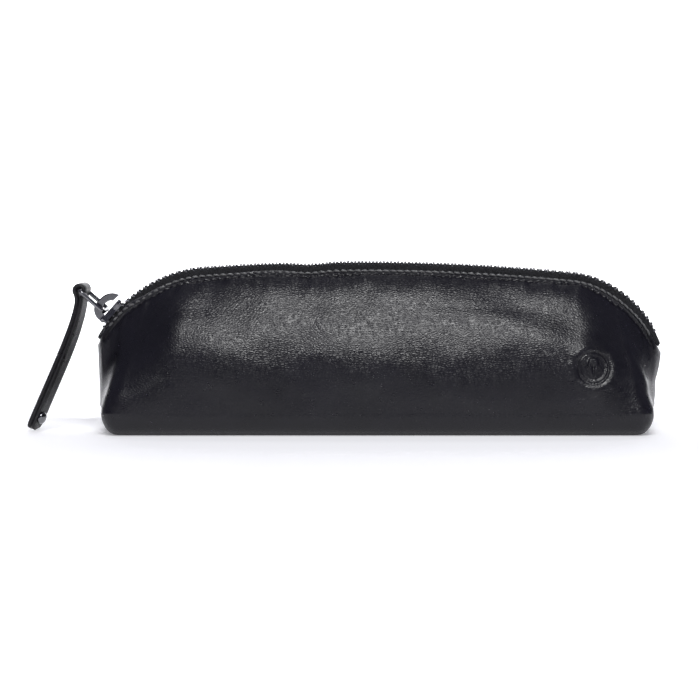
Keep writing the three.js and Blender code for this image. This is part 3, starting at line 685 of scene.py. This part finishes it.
def leather_half(travel, rows, side):
    """One half's loop of rows: floor, outer wall, turned edge and inner wall."""
    outer, plain, normal = outer_leather(travel, rows, side)
    edge = outer[:, -1]
    upward = unit_rows(plain[:, -1] - plain[:, -3])
    roll = [
        edge - TURNED_EDGE * normal[:, -1] * (1 - math.cos(angle)) + TURNED_EDGE * upward * math.sin(angle)
        for angle in np.linspace(0, math.pi, 8)[1:]
    ]
    hem_count = len(HEM_TURNS)
    inner = []
    for row in [*INNER_ROWS, hem_count + 2, hem_count - 6, 4, 0]:
        depth = 2 * TURNED_EDGE if row in INNER_ROWS[:2] else LEATHER
        inner.append(plain[:, row] - depth * normal[:, row])
    inner[-1][:, 2] = LEATHER
    spine = floor_spine(plain[:, 0])
    floor = [lerp(spine, outer[:, 0], t) for t in (0, 0.3, 0.6, 0.85)]
    inner_floor = [lerp(inner[-1], spine + [0, 0, LEATHER], t) for t in (0.5, 1)]
    wall_rows = [outer[:, j] for j in range(outer.shape[1])]
    loop = np.stack(floor + wall_rows + roll + inner + inner_floor, axis=1)
    loop[..., 1] = np.minimum(loop[..., 1], 0)
    loop[[0, -1], :, 1] = 0
    return on_side(loop, side)


def make_leather():
    travel = column_steps()
    rows = row_steps(travel)
    heap = Heap()
    for side in SIDES:
        loop = leather_half(travel, rows, side)
        heap.add(loop.reshape(-1, 3), grid_faces(*loop.shape[:2], flip=side > 0))
    body = heap.make("case_leather", BLACK_LEATHER)
    return place(body, "case", "leather", "leather_body")


def surface_point(along, below, lift, side):
    """Points of the finished leather at places along the zip and distances below its edge."""
    travel = travel_below(along)
    length = wall_length(travel)[:, None]
    below = below + 0 * along
    near = np.linspace(-0.6, 0.6, 7)[None, :]
    rise = 1 - (below[:, None] + near) / length
    wide = np.stack([travel - 0.3, travel, travel + 0.3])
    plain = np.stack([wall(t[:, None], rise) for t in wide])
    right = plain[2] - plain[0]
    up = plain[1][:, 2] - plain[1][:, 4]
    normal = unit_rows(np.cross(right[:, 3], up))
    middle = plain[1][:, 3]
    relief = edge_relief(zip_above(travel), below)
    return on_side(middle + normal * (relief + lift)[:, None], side)


STITCH_POINTS, STITCH_CLEAR = 8, 0.08


def make_stitches(side):
    """Sewn thread below the turned edge: each stitch dips into the leather at both ends."""
    heap = Heap()
    around = circle(8)[:, None]
    first = math.ceil(6 / STITCH_PITCH)
    last = math.floor((ZIP_LENGTH - 5) / STITCH_PITCH)
    share = np.linspace(STITCH_CLEAR, 1 - STITCH_CLEAR, STITCH_POINTS)
    below = STITCH_AT + STITCH_SLANT * np.linspace(-1, 1, STITCH_POINTS)
    arch = np.sin(np.linspace(0, math.pi, STITCH_POINTS))
    for index in range(first, last):
        along = (index + share) * STITCH_PITCH
        line = surface_point(along, below, STITCH_RISE * arch - STITCH_SINK, side)
        forward = unit_rows(np.gradient(line, axis=0))
        out = unit_rows(np.cross(forward, [0, 1, 0]))
        across = np.cross(forward, out)
        rings = []
        for k in range(STITCH_POINTS):
            radius = THREAD * (0.55 + 0.45 * arch[k])
            rings.append(line[k] + radius * (np.cos(around) * out[k] + np.sin(around) * across[k]))
        heap.add(*tube(rings))
    return place(heap.make(f"edge_stitches_{SIDES[side]}", THREAD_MATERIAL), "case", "leather")


# ---------- lining, tapes, teeth, stops ----------

LINING_TOP = 0.9


def make_lining():
    """Cloth bag inside the leather, up to a share of the wall's height."""
    travel = np.unique(np.concatenate([[0], column_steps()[::3], [HALF_OUTLINE]]))
    column = travel[:, None]
    rises = np.linspace(0, LINING_TOP, 26)[None, :] + 0 * column
    plain = np.concatenate([hem(column, np.linspace(1, 0.1, 6)[None, :]), wall(column, rises)], axis=1)
    normal = normals_of(plain)
    normal[:, 0] = [0, 0, -1]
    heap = Heap()
    for side in SIDES:
        sheets = []
        for depth in (LINING_DEPTH, LINING_DEPTH + LINING_THICK):
            sheet = plain - depth * normal
            sheet[..., 1] = np.minimum(sheet[..., 1], 0)
            sheet[[0, -1], :, 1] = 0
            spine = floor_spine(sheet[:, 0]) + [0, 0, depth]
            sheets.append(np.concatenate([spine[:, None], sheet], axis=1))
        loop = on_side(np.concatenate([sheets[0], sheets[1][:, ::-1]], axis=1), side)
        heap.add(loop.reshape(-1, 3), grid_faces(*loop.shape[:2], flip=side > 0))
    return place(heap.make("lining_cloth", LINING_MATERIAL), "case", "lining", "lining")


CORD_AT, CORD_RADIUS = 1.75, 0.62
TAPE_CLEAR, TAPE_POINTS = 1.2, 420
FLAP_BELOW = (0.6, 3.0, 6.0, 9.0)


def tape_flap(travel, length):
    """Points of the smooth wall, and its normals, where the tape lies sewn under the leather."""
    flap = []
    for below in FLAP_BELOW:
        rise = 1 - below / length
        right = wall(travel + 0.4, rise) - wall(travel - 0.4, rise)
        up = wall(travel, np.minimum(rise + 0.02, 1)) - wall(travel, rise - 0.02)
        flap.append((wall(travel, rise), unit_rows(np.cross(right, up))))
    return flap


def make_tape(side):
    """One tape: a corded edge in the teeth, a slope down and a flap under the leather."""
    along = np.linspace(TAPE_CLEAR, ZIP_LENGTH - TAPE_CLEAR, TAPE_POINTS)
    part = rows_part(along)

    def cross(across, above):
        return zip_point(along, -across, above + 0 * along)

    cord = [
        cross(CORD_AT + part - CORD_RADIUS * math.cos(angle), CORD_RADIUS * math.sin(angle))
        for angle in np.linspace(0.75 * math.pi, -0.75 * math.pi, 9)
    ]
    edge = leather_edge(along)
    x, z, nx, nz = zip_frame(along)
    edge_above = (edge[:, 0] - x) * nx + (edge[:, 2] - z) * nz
    reach = -edge[:, 1]
    flat = np.minimum(3.3 + part, reach - 1.4)
    slope = [
        cross(lerp(flat, reach - 0.3, t), lerp(-0.1, edge_above - 1.9, t ** 1.4))
        for t in (0.0, 0.35, 0.7)
    ]
    travel = travel_below(along)
    flap = tape_flap(travel, wall_length(travel))
    upper = slope + [point - (TAPE_DEPTH - TAPE_THICK / 2) * normal for point, normal in flap]
    lower = [point - [0, 0, TAPE_THICK] for point in slope]
    lower += [point - (TAPE_DEPTH + TAPE_THICK / 2) * normal for point, normal in flap]
    loop = on_side(np.stack(cord + lower + upper[::-1], axis=1), side)
    name = SIDES[side]
    piece = make_object(f"tape_cloth_{name}", *tube(loop), TAPE_MATERIAL)
    return place(piece, "case", "tape", f"zip_tape_{name}")


# Sections of one tooth, from its clamp outward of the cord to its head past the middle:
# distance across, half its length along the zip and half its height.
TOOTH = [(-3.0, 0.3, 0.72), (-2.92, 0.46, 1.02), (-2.7, 0.53, 1.2), (-1.7, 0.54, 1.3), (-1.15, 0.52, 1.2),
         (-0.85, 0.5, 0.98), (-0.2, 0.48, 0.88), (0.3, 0.48, 0.86), (0.52, 0.4, 0.7), (0.62, 0.26, 0.44)]


TOOTH_SIDES, TOOTH_SQUARENESS = 14, 0.5
TOP_STOP = [(-2.7, 0.5, 0.8), (-2.6, 0.8, 1.15), (-1.6, 0.85, 1.3), (-0.7, 0.8, 1.15), (-0.6, 0.5, 0.8)]
BOTTOM_STOP = [(-2.7, 0.5, 0.8), (-2.55, 0.8, 1.2), (0, 0.85, 1.35), (2.55, 0.8, 1.2), (2.7, 0.5, 0.8)]
TOP_STOP_AT, BOTTOM_STOP_AT = 1.3, ZIP_LENGTH - 1.4


def rounded(count, power):
    """A ring of unit points between a circle and a square."""
    cos, sin = np.cos(circle(count)), np.sin(circle(count))
    return np.sign(cos) * np.abs(cos) ** power, np.sign(sin) * np.abs(sin) ** power


def sunk(along):
    """How deep the rows sink at the zip's ends, where the leather closes round them."""
    at_end = 1 - smooth(0, END_REACH, ZIP_LENGTH - along)
    return END_SINK * at_end + START_SINK * (1 - smooth(1, START_REACH, along))


def block(along, sections, side, shift):
    """A rounded block across the zip, lofted through sections like a tooth's."""
    u, v = rounded(TOOTH_SIDES, TOOTH_SQUARENESS)
    return tube([
        zip_point(along + half_along * u, side * (shift - across) + 0 * u, half_height * v - sunk(along))
        for across, half_along, half_height in sections
    ])


def make_teeth(side):
    heap = Heap()
    count = int((ZIP_LENGTH - TEETH_START - TEETH_END) / PITCH)
    offset = 0 if side < 0 else 0.5
    for index in range(count + 1):
        along = TEETH_START + (index + offset) * PITCH
        if along <= ZIP_LENGTH - TEETH_END:
            heap.add(*block(along, TOOTH, side, float(rows_part(along))))
    name = SIDES[side]
    return place(heap.make(f"teeth_metal_{name}", TEETH_METAL), "case", "teeth", f"zip_teeth_{name}")


def make_stops():
    for side, name in SIDES.items():
        points, faces = block(TOP_STOP_AT, TOP_STOP, side, ROWS_PART)
        stop = make_object(f"top_stop_metal_{name}", points, faces, TEETH_METAL)
        place(stop, "case", "stops", f"top_stop_{name}")
    points, faces = block(BOTTOM_STOP_AT, BOTTOM_STOP, -1, 0.0)
    place(make_object("bottom_stop_metal", points, faces, TEETH_METAL), "case", "stops", "bottom_stop")


# ---------- slider ----------

SLIDER = {"half": 5.1, "gap": 1.55, "plate": 1.2, "flange": 0.65, "lip": 0.5, "wedge": 0.5}
SLIDER_NOSE, SLIDER_ROUND = 0.9, 1.6
ROW_REACH, ROW_CLEAR = 2.7, 0.35
FUSE = 0.2
LUG_HALF = 1.5
SOFTEN_VOXEL, SOFTEN_ROUNDS = 0.11, 7


def prism(heap, outline_points, low, high, axis):
    """A straight prism of an outline: axis 'z' for a plan outline, 'y' for a side one."""
    flat = np.asarray(outline_points, float)
    ends = []
    for level in (low, high):
        rise = np.full(len(flat), float(level))
        columns = [flat[:, 0], flat[:, 1], rise] if axis == "z" else [flat[:, 0], rise, flat[:, 1]]
        ends.append(np.stack(columns, axis=1))
    heap.add(*tube(ends))


def bezier(start, control, end):
    """Points of a quadratic curve, without its start."""
    t = np.linspace(0, 1, 10)[1:, None]
    start, control, end = map(np.array, (start, control, end))
    return ((1 - t) ** 2 * start + 2 * t * (1 - t) * control + t ** 2 * end).tolist()


def lug_outline():
    """Side outline of the lug on the slider's top plate: a hook, open towards the closed teeth."""
    top = SLIDER["gap"] + SLIDER["plate"]
    points = [[-5.0, top - 0.6]]
    points += bezier(points[-1], (-6.1, top + 1.7), (-3.7, top + 4.4))
    points += bezier(points[-1], (-1.2, top + 5.7), (2.4, top + 4.9))
    points += bezier(points[-1], (5.5, top + 3.8), (6.2, top + 0.9))
    points += [[3.0, top + 1.2]]
    points += bezier(points[-1], (2.6, top + 2.3), (0.6, top + 2.7))
    points += bezier(points[-1], (-2.3, top + 2.9), (-2.9, top - 0.6))
    return points


def slider_half_width(along):
    return ROW_REACH + ROW_CLEAR + rows_part(SLIDER_AT + along) + SLIDER["flange"]


def make_slider():
    half, gap, plate = SLIDER["half"], SLIDER["gap"], SLIDER["plate"]
    heap = Heap()
    along = np.linspace(-half, half, 25)
    into_nose = 1 - np.clip((half - np.abs(along)) / SLIDER_ROUND, 0, 1)
    shoulder = SLIDER_NOSE * (1 - np.sqrt(np.clip(1 - into_nose ** 2, 0, 1)))
    width = slider_half_width(along) - shoulder
    plan = list(zip(along, -width)) + list(zip(along[::-1], width[::-1]))
    prism(heap, plan, gap, gap + plate, "z")
    prism(heap, plan, -gap - plate, -gap, "z")
    tip = SLIDER["wedge"]
    wedge = [(-half + FUSE, -tip), (-2.6, -tip), (-1.6, 0), (-2.6, tip), (-half + FUSE, tip)]
    prism(heap, wedge, -gap - FUSE, gap + FUSE, "z")
    prism(heap, lug_outline(), -LUG_HALF, LUG_HALF, "y")
    reach = half - 1.0
    run = np.linspace(-reach, reach, 15)
    for side in (-1, 1):
        outer = list(zip(run, side * (slider_half_width(run) - 0.02)))
        inner = list(zip(run, side * (slider_half_width(run) - SLIDER["flange"])))
        for low, high in ((SLIDER["lip"], gap + FUSE), (-gap - FUSE, -SLIDER["lip"])):
            prism(heap, outer + inner[::-1], low, high, "z")
    piece = heap.make("slider_casting", BRIGHT_METAL)
    soften(piece)
    centre = arc_point(LEFT_CENTRE, LEFT_RADIUS, SLIDER_ANGLE)
    turn = Matrix.Rotation(math.pi / 2 - SLIDER_ANGLE, 4, "Y")
    piece.data.transform(Matrix.Translation(Vector((centre[0], 0, centre[1])) * MM) @ turn)
    return place(piece, "slider", "slider_metal", "zip_slider")


def soften(piece):
    """Fuses a piece's overlapping parts into one casting and rounds its edges."""
    piece.data.transform(Matrix.Scale(1 / MM, 4))
    remesh = piece.modifiers.new("fuse", "REMESH")
    remesh.mode = "VOXEL"
    remesh.voxel_size = SOFTEN_VOXEL
    relax = piece.modifiers.new("relax", "SMOOTH")
    relax.factor = 0.5
    relax.iterations = SOFTEN_ROUNDS
    graph = bpy.context.evaluated_depsgraph_get()
    graph.update()
    final = bpy.data.meshes.new_from_object(piece.evaluated_get(graph))
    piece.modifiers.clear()
    piece.data = final
    final.transform(Matrix.Scale(MM, 4))
    final.polygons.foreach_set("use_smooth", [True] * len(final.polygons))


# ---------- ring, strap, rivet ----------

RING_LENGTH, RING_WIDTH, RING_CORNER = 11.2, 8.4, 1.4
RING_WIRE, RING_SIDES, RING_SQUARE = 0.76, 20, 0.25
STRAP_CURVE = np.array([(0, 0), (0.9, -10.5), (-9.8, -31), (-17.1, -49.4)], float)
STRAP_WIDTH, STRAP_LAYER, STRAP_EYE = 6.3, 1.32, 1.16
STRAP_ACROSS, STRAP_TURN, STRAP_LEAN = (0.22, 0.974, 0.05), 0.26, 0.1
LAYER_POINTS, EYE_POINTS = 60, 28
TIP_ROUND = 1.6
EDGE_ROUND, CREASE_DEPTH, CREASE_INSET, CREASE_HALF = 0.14, 0.28, 0.26, 0.06
RIVET = {"from_tip": 4.9, "shank": 0.95, "cap": 2.3, "dome": 1.15, "rim": 0.35, "foot": 0.75}

RING_FOOT = np.array(JOINTS["ring_swing"]["pos_m"]) / MM
RING_HEAD = np.array(JOINTS["strap_swing"]["pos_m"]) / MM
RING_ACROSS = np.array(JOINTS["ring_swing"]["axis"])


def make_ring():
    """A long ring of round wire with rounded corners, from its foot in the lug to its head."""
    near, far, half = RING_CORNER, RING_LENGTH - RING_CORNER, RING_WIDTH / 2 - RING_CORNER
    around = circle(RING_SIDES)[:, None]
    rings = []
    for x, y, start in [(far, half, 0), (near, half, 90), (near, -half, 180), (far, -half, 270)]:
        for angle in np.radians(start + np.linspace(0, 90, 10)):
            outward = np.array([math.cos(angle), math.sin(angle), 0])
            section = np.cos(around) * outward + np.sin(around) * [0, 0, 1]
            rings.append([x, y, 0] + RING_CORNER * outward + RING_WIRE * section)
    rings.append(rings[0])
    points = np.array(rings)
    along = (RING_HEAD - RING_FOOT) / np.linalg.norm(RING_HEAD - RING_FOOT)
    across = lerp(RING_ACROSS, np.array([0, 1, 0]), RING_SQUARE)
    across = across - along * (across @ along)
    across = across / np.linalg.norm(across)
    basis = np.stack([along, across, np.cross(along, across)])
    placed = points.reshape(-1, 3) @ basis + RING_FOOT
    piece = make_object("ring_wire", placed, grid_faces(len(rings), RING_SIDES, wrap=True), BRIGHT_METAL)
    return place(piece, "ring", "ring_metal", "ring_link")


def strap_line(t):
    """The strap's middle line and its direction, in X and Z from the ring's head."""
    p = STRAP_CURVE
    t = np.asarray(t, float)[:, None]
    point = (1 - t) ** 3 * p[0] + 3 * t * (1 - t) ** 2 * p[1] + 3 * t ** 2 * (1 - t) * p[2] + t ** 3 * p[3]
    slope = 3 * ((1 - t) ** 2 * (p[1] - p[0]) + 2 * t * (1 - t) * (p[2] - p[1]) + t ** 2 * (p[3] - p[2]))
    return point, unit_rows(slope)


def strap_place(flat, across):
    """Puts points of the strap's edge outline, and distances across it, in the case's frame."""
    x, z = flat[..., 0], flat[..., 1]
    point = np.stack([x, STRAP_LEAN * z, z], axis=-1)
    return point + across[..., None] * strap_twist(z) + RING_HEAD


def strap_twist(z):
    """The strap's direction across itself: it turns a little more to the front towards its tip."""
    turned = STRAP_TURN * smooth(7, -26, z)[..., None]
    twist = np.array(STRAP_ACROSS) + turned * np.array([1, 0, 0.25])
    return twist / np.linalg.norm(twist, axis=-1, keepdims=True)


def strap_path():
    """The folded strip's middle line: up one layer, round the eye and down the other."""
    layer = STRAP_LAYER / 2 + 0.01
    ring = STRAP_EYE + STRAP_LAYER / 2
    point, slope = strap_line(np.linspace(0.1, 1, LAYER_POINTS))
    side = np.stack([slope[:, 1], -slope[:, 0]], axis=1)
    left = (point + side * layer)[::-1]
    right = point - side * layer
    turn = np.radians(np.linspace(236, -56, EYE_POINTS))
    eye = np.stack([ring * np.cos(turn), ring * np.sin(turn)], axis=1)
    path = np.concatenate([left, eye, right])
    first, last = LAYER_POINTS - 6, LAYER_POINTS + EYE_POINTS + 7
    for _ in range(3):
        before, after = path[first - 1:last - 1], path[first + 1:last + 1]
        path[first:last] = (before + 2 * path[first:last] + after) / 4
    return path


def make_strap():
    path = strap_path()
    forward = unit_rows(np.gradient(path, axis=0))
    out = np.stack([-forward[:, 1], forward[:, 0]], axis=1)
    travelled = np.concatenate([[0], np.cumsum(np.linalg.norm(np.diff(path, axis=0), axis=1))])
    from_tip = np.minimum(travelled, travelled[-1] - travelled)
    radius = STRAP_WIDTH / 2
    half_chord = np.sqrt(np.maximum(radius ** 2 - (radius - from_tip) ** 2, 0.01))
    half_width = np.where(from_tip < radius, half_chord, radius)
    across, through = strap_section()
    tip = np.clip(from_tip / TIP_ROUND, 0, 1)
    half_thick = (STRAP_LAYER / 2 - 0.015) * np.sqrt(1 - (1 - tip) ** 2 + 0.03)
    rings = []
    for k in range(len(path)):
        flat = path[k] + np.outer(through * half_thick[k], out[k])
        rings.append(strap_place(flat, across * half_width[k]))
    piece = make_object("strap_leather", *tube(rings), STRAP_LEATHER)
    return place(piece, "strap", "strap_leather", "pull_strap")


def strap_section():
    """Across and through shares of the strip's section: rounded edges, a creased line on its face."""
    across, through = [], []
    for u in np.linspace(-1, 1, 27):
        edge = 1 - abs(u)
        lift = math.sqrt(max(1 - (1 - min(edge / EDGE_ROUND, 1)) ** 2, 0))
        across.append(u)
        through.append(lift - CREASE_DEPTH * float(bell(edge, CREASE_INSET, CREASE_HALF)))
    back = [-t for t in through[-2:0:-1]]
    return np.array(across + across[-2:0:-1]), np.array(through + back)


def rivet_frame():
    """Matrix of the rivet: Z through the strap towards its right-hand face, Y down the strap."""
    samples = np.linspace(0, 1, 400)
    point, slope = strap_line(samples)
    lengths = np.concatenate([[0], np.cumsum(np.linalg.norm(np.diff(point, axis=0), axis=1))])
    k = int(np.argmin(np.abs(lengths - (lengths[-1] - RIVET["from_tip"]))))
    zero = np.zeros(1)
    centre = strap_place(point[k:k + 1], zero)[0]
    down = strap_place(point[k:k + 1] + slope[k:k + 1], zero)[0] - centre
    down = Vector(down).normalized()
    face = -Vector(strap_twist(point[k:k + 1, 1])[0]).cross(down)
    face.normalize()
    right = down.cross(face)
    turn = Matrix((right, down, face)).transposed().to_4x4()
    return Matrix.Translation(Vector(centre) * MM) @ turn


def lathe(name, profile, material):
    """A round piece from its profile of radii and heights."""
    around = circle(48)
    rings = [np.stack([r * np.cos(around), r * np.sin(around), h + 0 * around], axis=1) for r, h in profile]
    return make_object(name, *tube(rings), material)


def make_rivet():
    """The domed cap on the strap's face and the flat-footed post behind it."""
    base = STRAP_LAYER + 0.02
    cap, rim, shank = RIVET["cap"], RIVET["rim"], RIVET["shank"]
    foot, axis = RIVET["foot"] * cap, 0.01
    dome = [(cap * math.cos(a), base + rim + RIVET["dome"] * math.sin(a)) for a in np.linspace(0, 1.5, 10)]
    crown = (axis, base + rim + RIVET["dome"])
    cap_profile = [(axis, base), (cap * 0.86, base), (cap, base + 0.12), *dome, crown]
    post_profile = [(axis, -base - rim), (foot * 0.9, -base - rim), (foot, -base - rim * 0.6), (foot, -base),
                    (shank, -base), (shank, base - 0.05), (axis, base - 0.05)]
    for name, profile, node in (("rivet_dome", cap_profile, "rivet_cap"),
                                ("rivet_shank", post_profile, "rivet_post")):
        piece = lathe(name, profile, BRIGHT_METAL)
        piece.data.transform(rivet_frame())
        place(piece, "strap", "rivet_metal", node)


# ---------- stage ----------

CAMERA_DISTANCE, CAMERA_HEIGHT = 900.0, 88.0
VIEW_X, VIEW_Z, VIEW_WIDTH = -9.6, 28.6, 249.0
FLOOR_FRONT, FLOOR_HALF_WIDTH = 2500.0, 2500.0
SWEEP_AT, SWEEP_RADIUS, SWEEP_TOP = 900, 500, 1500
FLOOR_GLOW = 0.27

# The floor is pale round the case and darker far from it, so that the leather reflects a dark room.
# The gradient's scale is per metre.
SHADE_SCALE, SHADE_SHIFT = (0.5, 0.5, 0.0), (0, -0.175, 0)
FLOOR_SHADES = [(0.14, (0.16, 0.16, 0.175)), (0.4, (0.95, 0.95, 0.96))]
ROOM_LIGHT, ROOM_STRENGTH = (0.7, 0.72, 1.0, 1), 0.16

# Lights: name, place, aim and size in metres, radiance, and spread in degrees.
LIGHTS = [
    ("key", (0.06, -0.9, 1.03), (0, 0, 0.03), (0.6, 0.1), 60.0, 180),
    ("backdrop light", (0, 0.7, 2.1), (0, 1.4, 0.3), (1.4, 0.7), 7.0, 70),
    ("floor light", (0, 1.05, 1.9), (0, 0.1, 0), (1.0, 0.4), 3.0, 180),
]


def make_camera():
    data = bpy.data.cameras.new("camera")
    distance = math.hypot(CAMERA_DISTANCE, CAMERA_HEIGHT - VIEW_Z)
    data.sensor_width = 36
    data.lens = data.sensor_width * distance / VIEW_WIDTH
    camera = bpy.data.objects.new("camera", data)
    camera.location = Vector((VIEW_X, -CAMERA_DISTANCE, CAMERA_HEIGHT)) * MM
    aim = Vector((VIEW_X, 0, VIEW_Z)) * MM
    camera.rotation_euler = (aim - camera.location).to_track_quat("-Z", "Y").to_euler()
    bpy.context.scene.collection.objects.link(camera)
    bpy.context.scene.camera = camera


def softbox(name, place_m, aim_m, size_m, radiance, spread):
    data = bpy.data.lights.new(name, "AREA")
    data.spread = math.radians(spread)
    data.shape = "RECTANGLE"
    data.size, data.size_y = size_m
    data.energy = radiance * math.pi * size_m[0] * size_m[1]
    light = bpy.data.objects.new(name, data)
    light.location = place_m
    light.rotation_euler = (Vector(aim_m) - Vector(place_m)).to_track_quat("-Z", "Y").to_euler()
    bpy.context.scene.collection.objects.link(light)


def make_floor():
    """A floor that curves up into a backdrop."""
    shader = Shader("Studio floor", Roughness=0.8, Specular_IOR_Level=0.2, Emission_Strength=FLOOR_GLOW)
    around = shader.nodes.new("ShaderNodeTexGradient")
    around.gradient_type = "SPHERICAL"
    shader.links.new(shader.stretched(SHADE_SCALE, SHADE_SHIFT), around.inputs["Vector"])
    pale = shader.ramp(around.outputs["Fac"], FLOOR_SHADES)
    shader.set("Base Color", pale)
    shader.set("Emission Color", pale)
    profile = [(-FLOOR_FRONT, 0), (SWEEP_AT, 0)]
    for angle in np.linspace(0.1, math.pi / 2, 14):
        profile.append((SWEEP_AT + SWEEP_RADIUS * math.sin(angle), SWEEP_RADIUS * (1 - math.cos(angle))))
    profile.append((SWEEP_AT + SWEEP_RADIUS, SWEEP_TOP))
    rows = np.array([[(x, y, z) for y, z in profile] for x in (-FLOOR_HALF_WIDTH, FLOOR_HALF_WIDTH)])
    faces = grid_faces(2, len(profile))
    make_object("studio_sweep", rows.reshape(-1, 3), faces, shader.material)


def make_stage():
    make_floor()
    world = bpy.data.worlds.new("studio")
    world.use_nodes = True
    background = world.node_tree.nodes["Background"]
    background.inputs["Color"].default_value = ROOM_LIGHT
    background.inputs["Strength"].default_value = ROOM_STRENGTH
    bpy.context.scene.world = world
    for light in LIGHTS:
        softbox(*light)
    bpy.context.scene.view_settings.view_transform = "Standard"


make_camera()
make_stage()
make_leather()
for half in SIDES:
    make_stitches(half)
    make_tape(half)
    make_teeth(half)
make_lining()
make_stops()
make_slider()
make_ring()
make_strap()
make_rivet()
board_materials = frame["nodes"]["base_board"].data.materials
board_materials.clear()
board_materials.append(CARD)
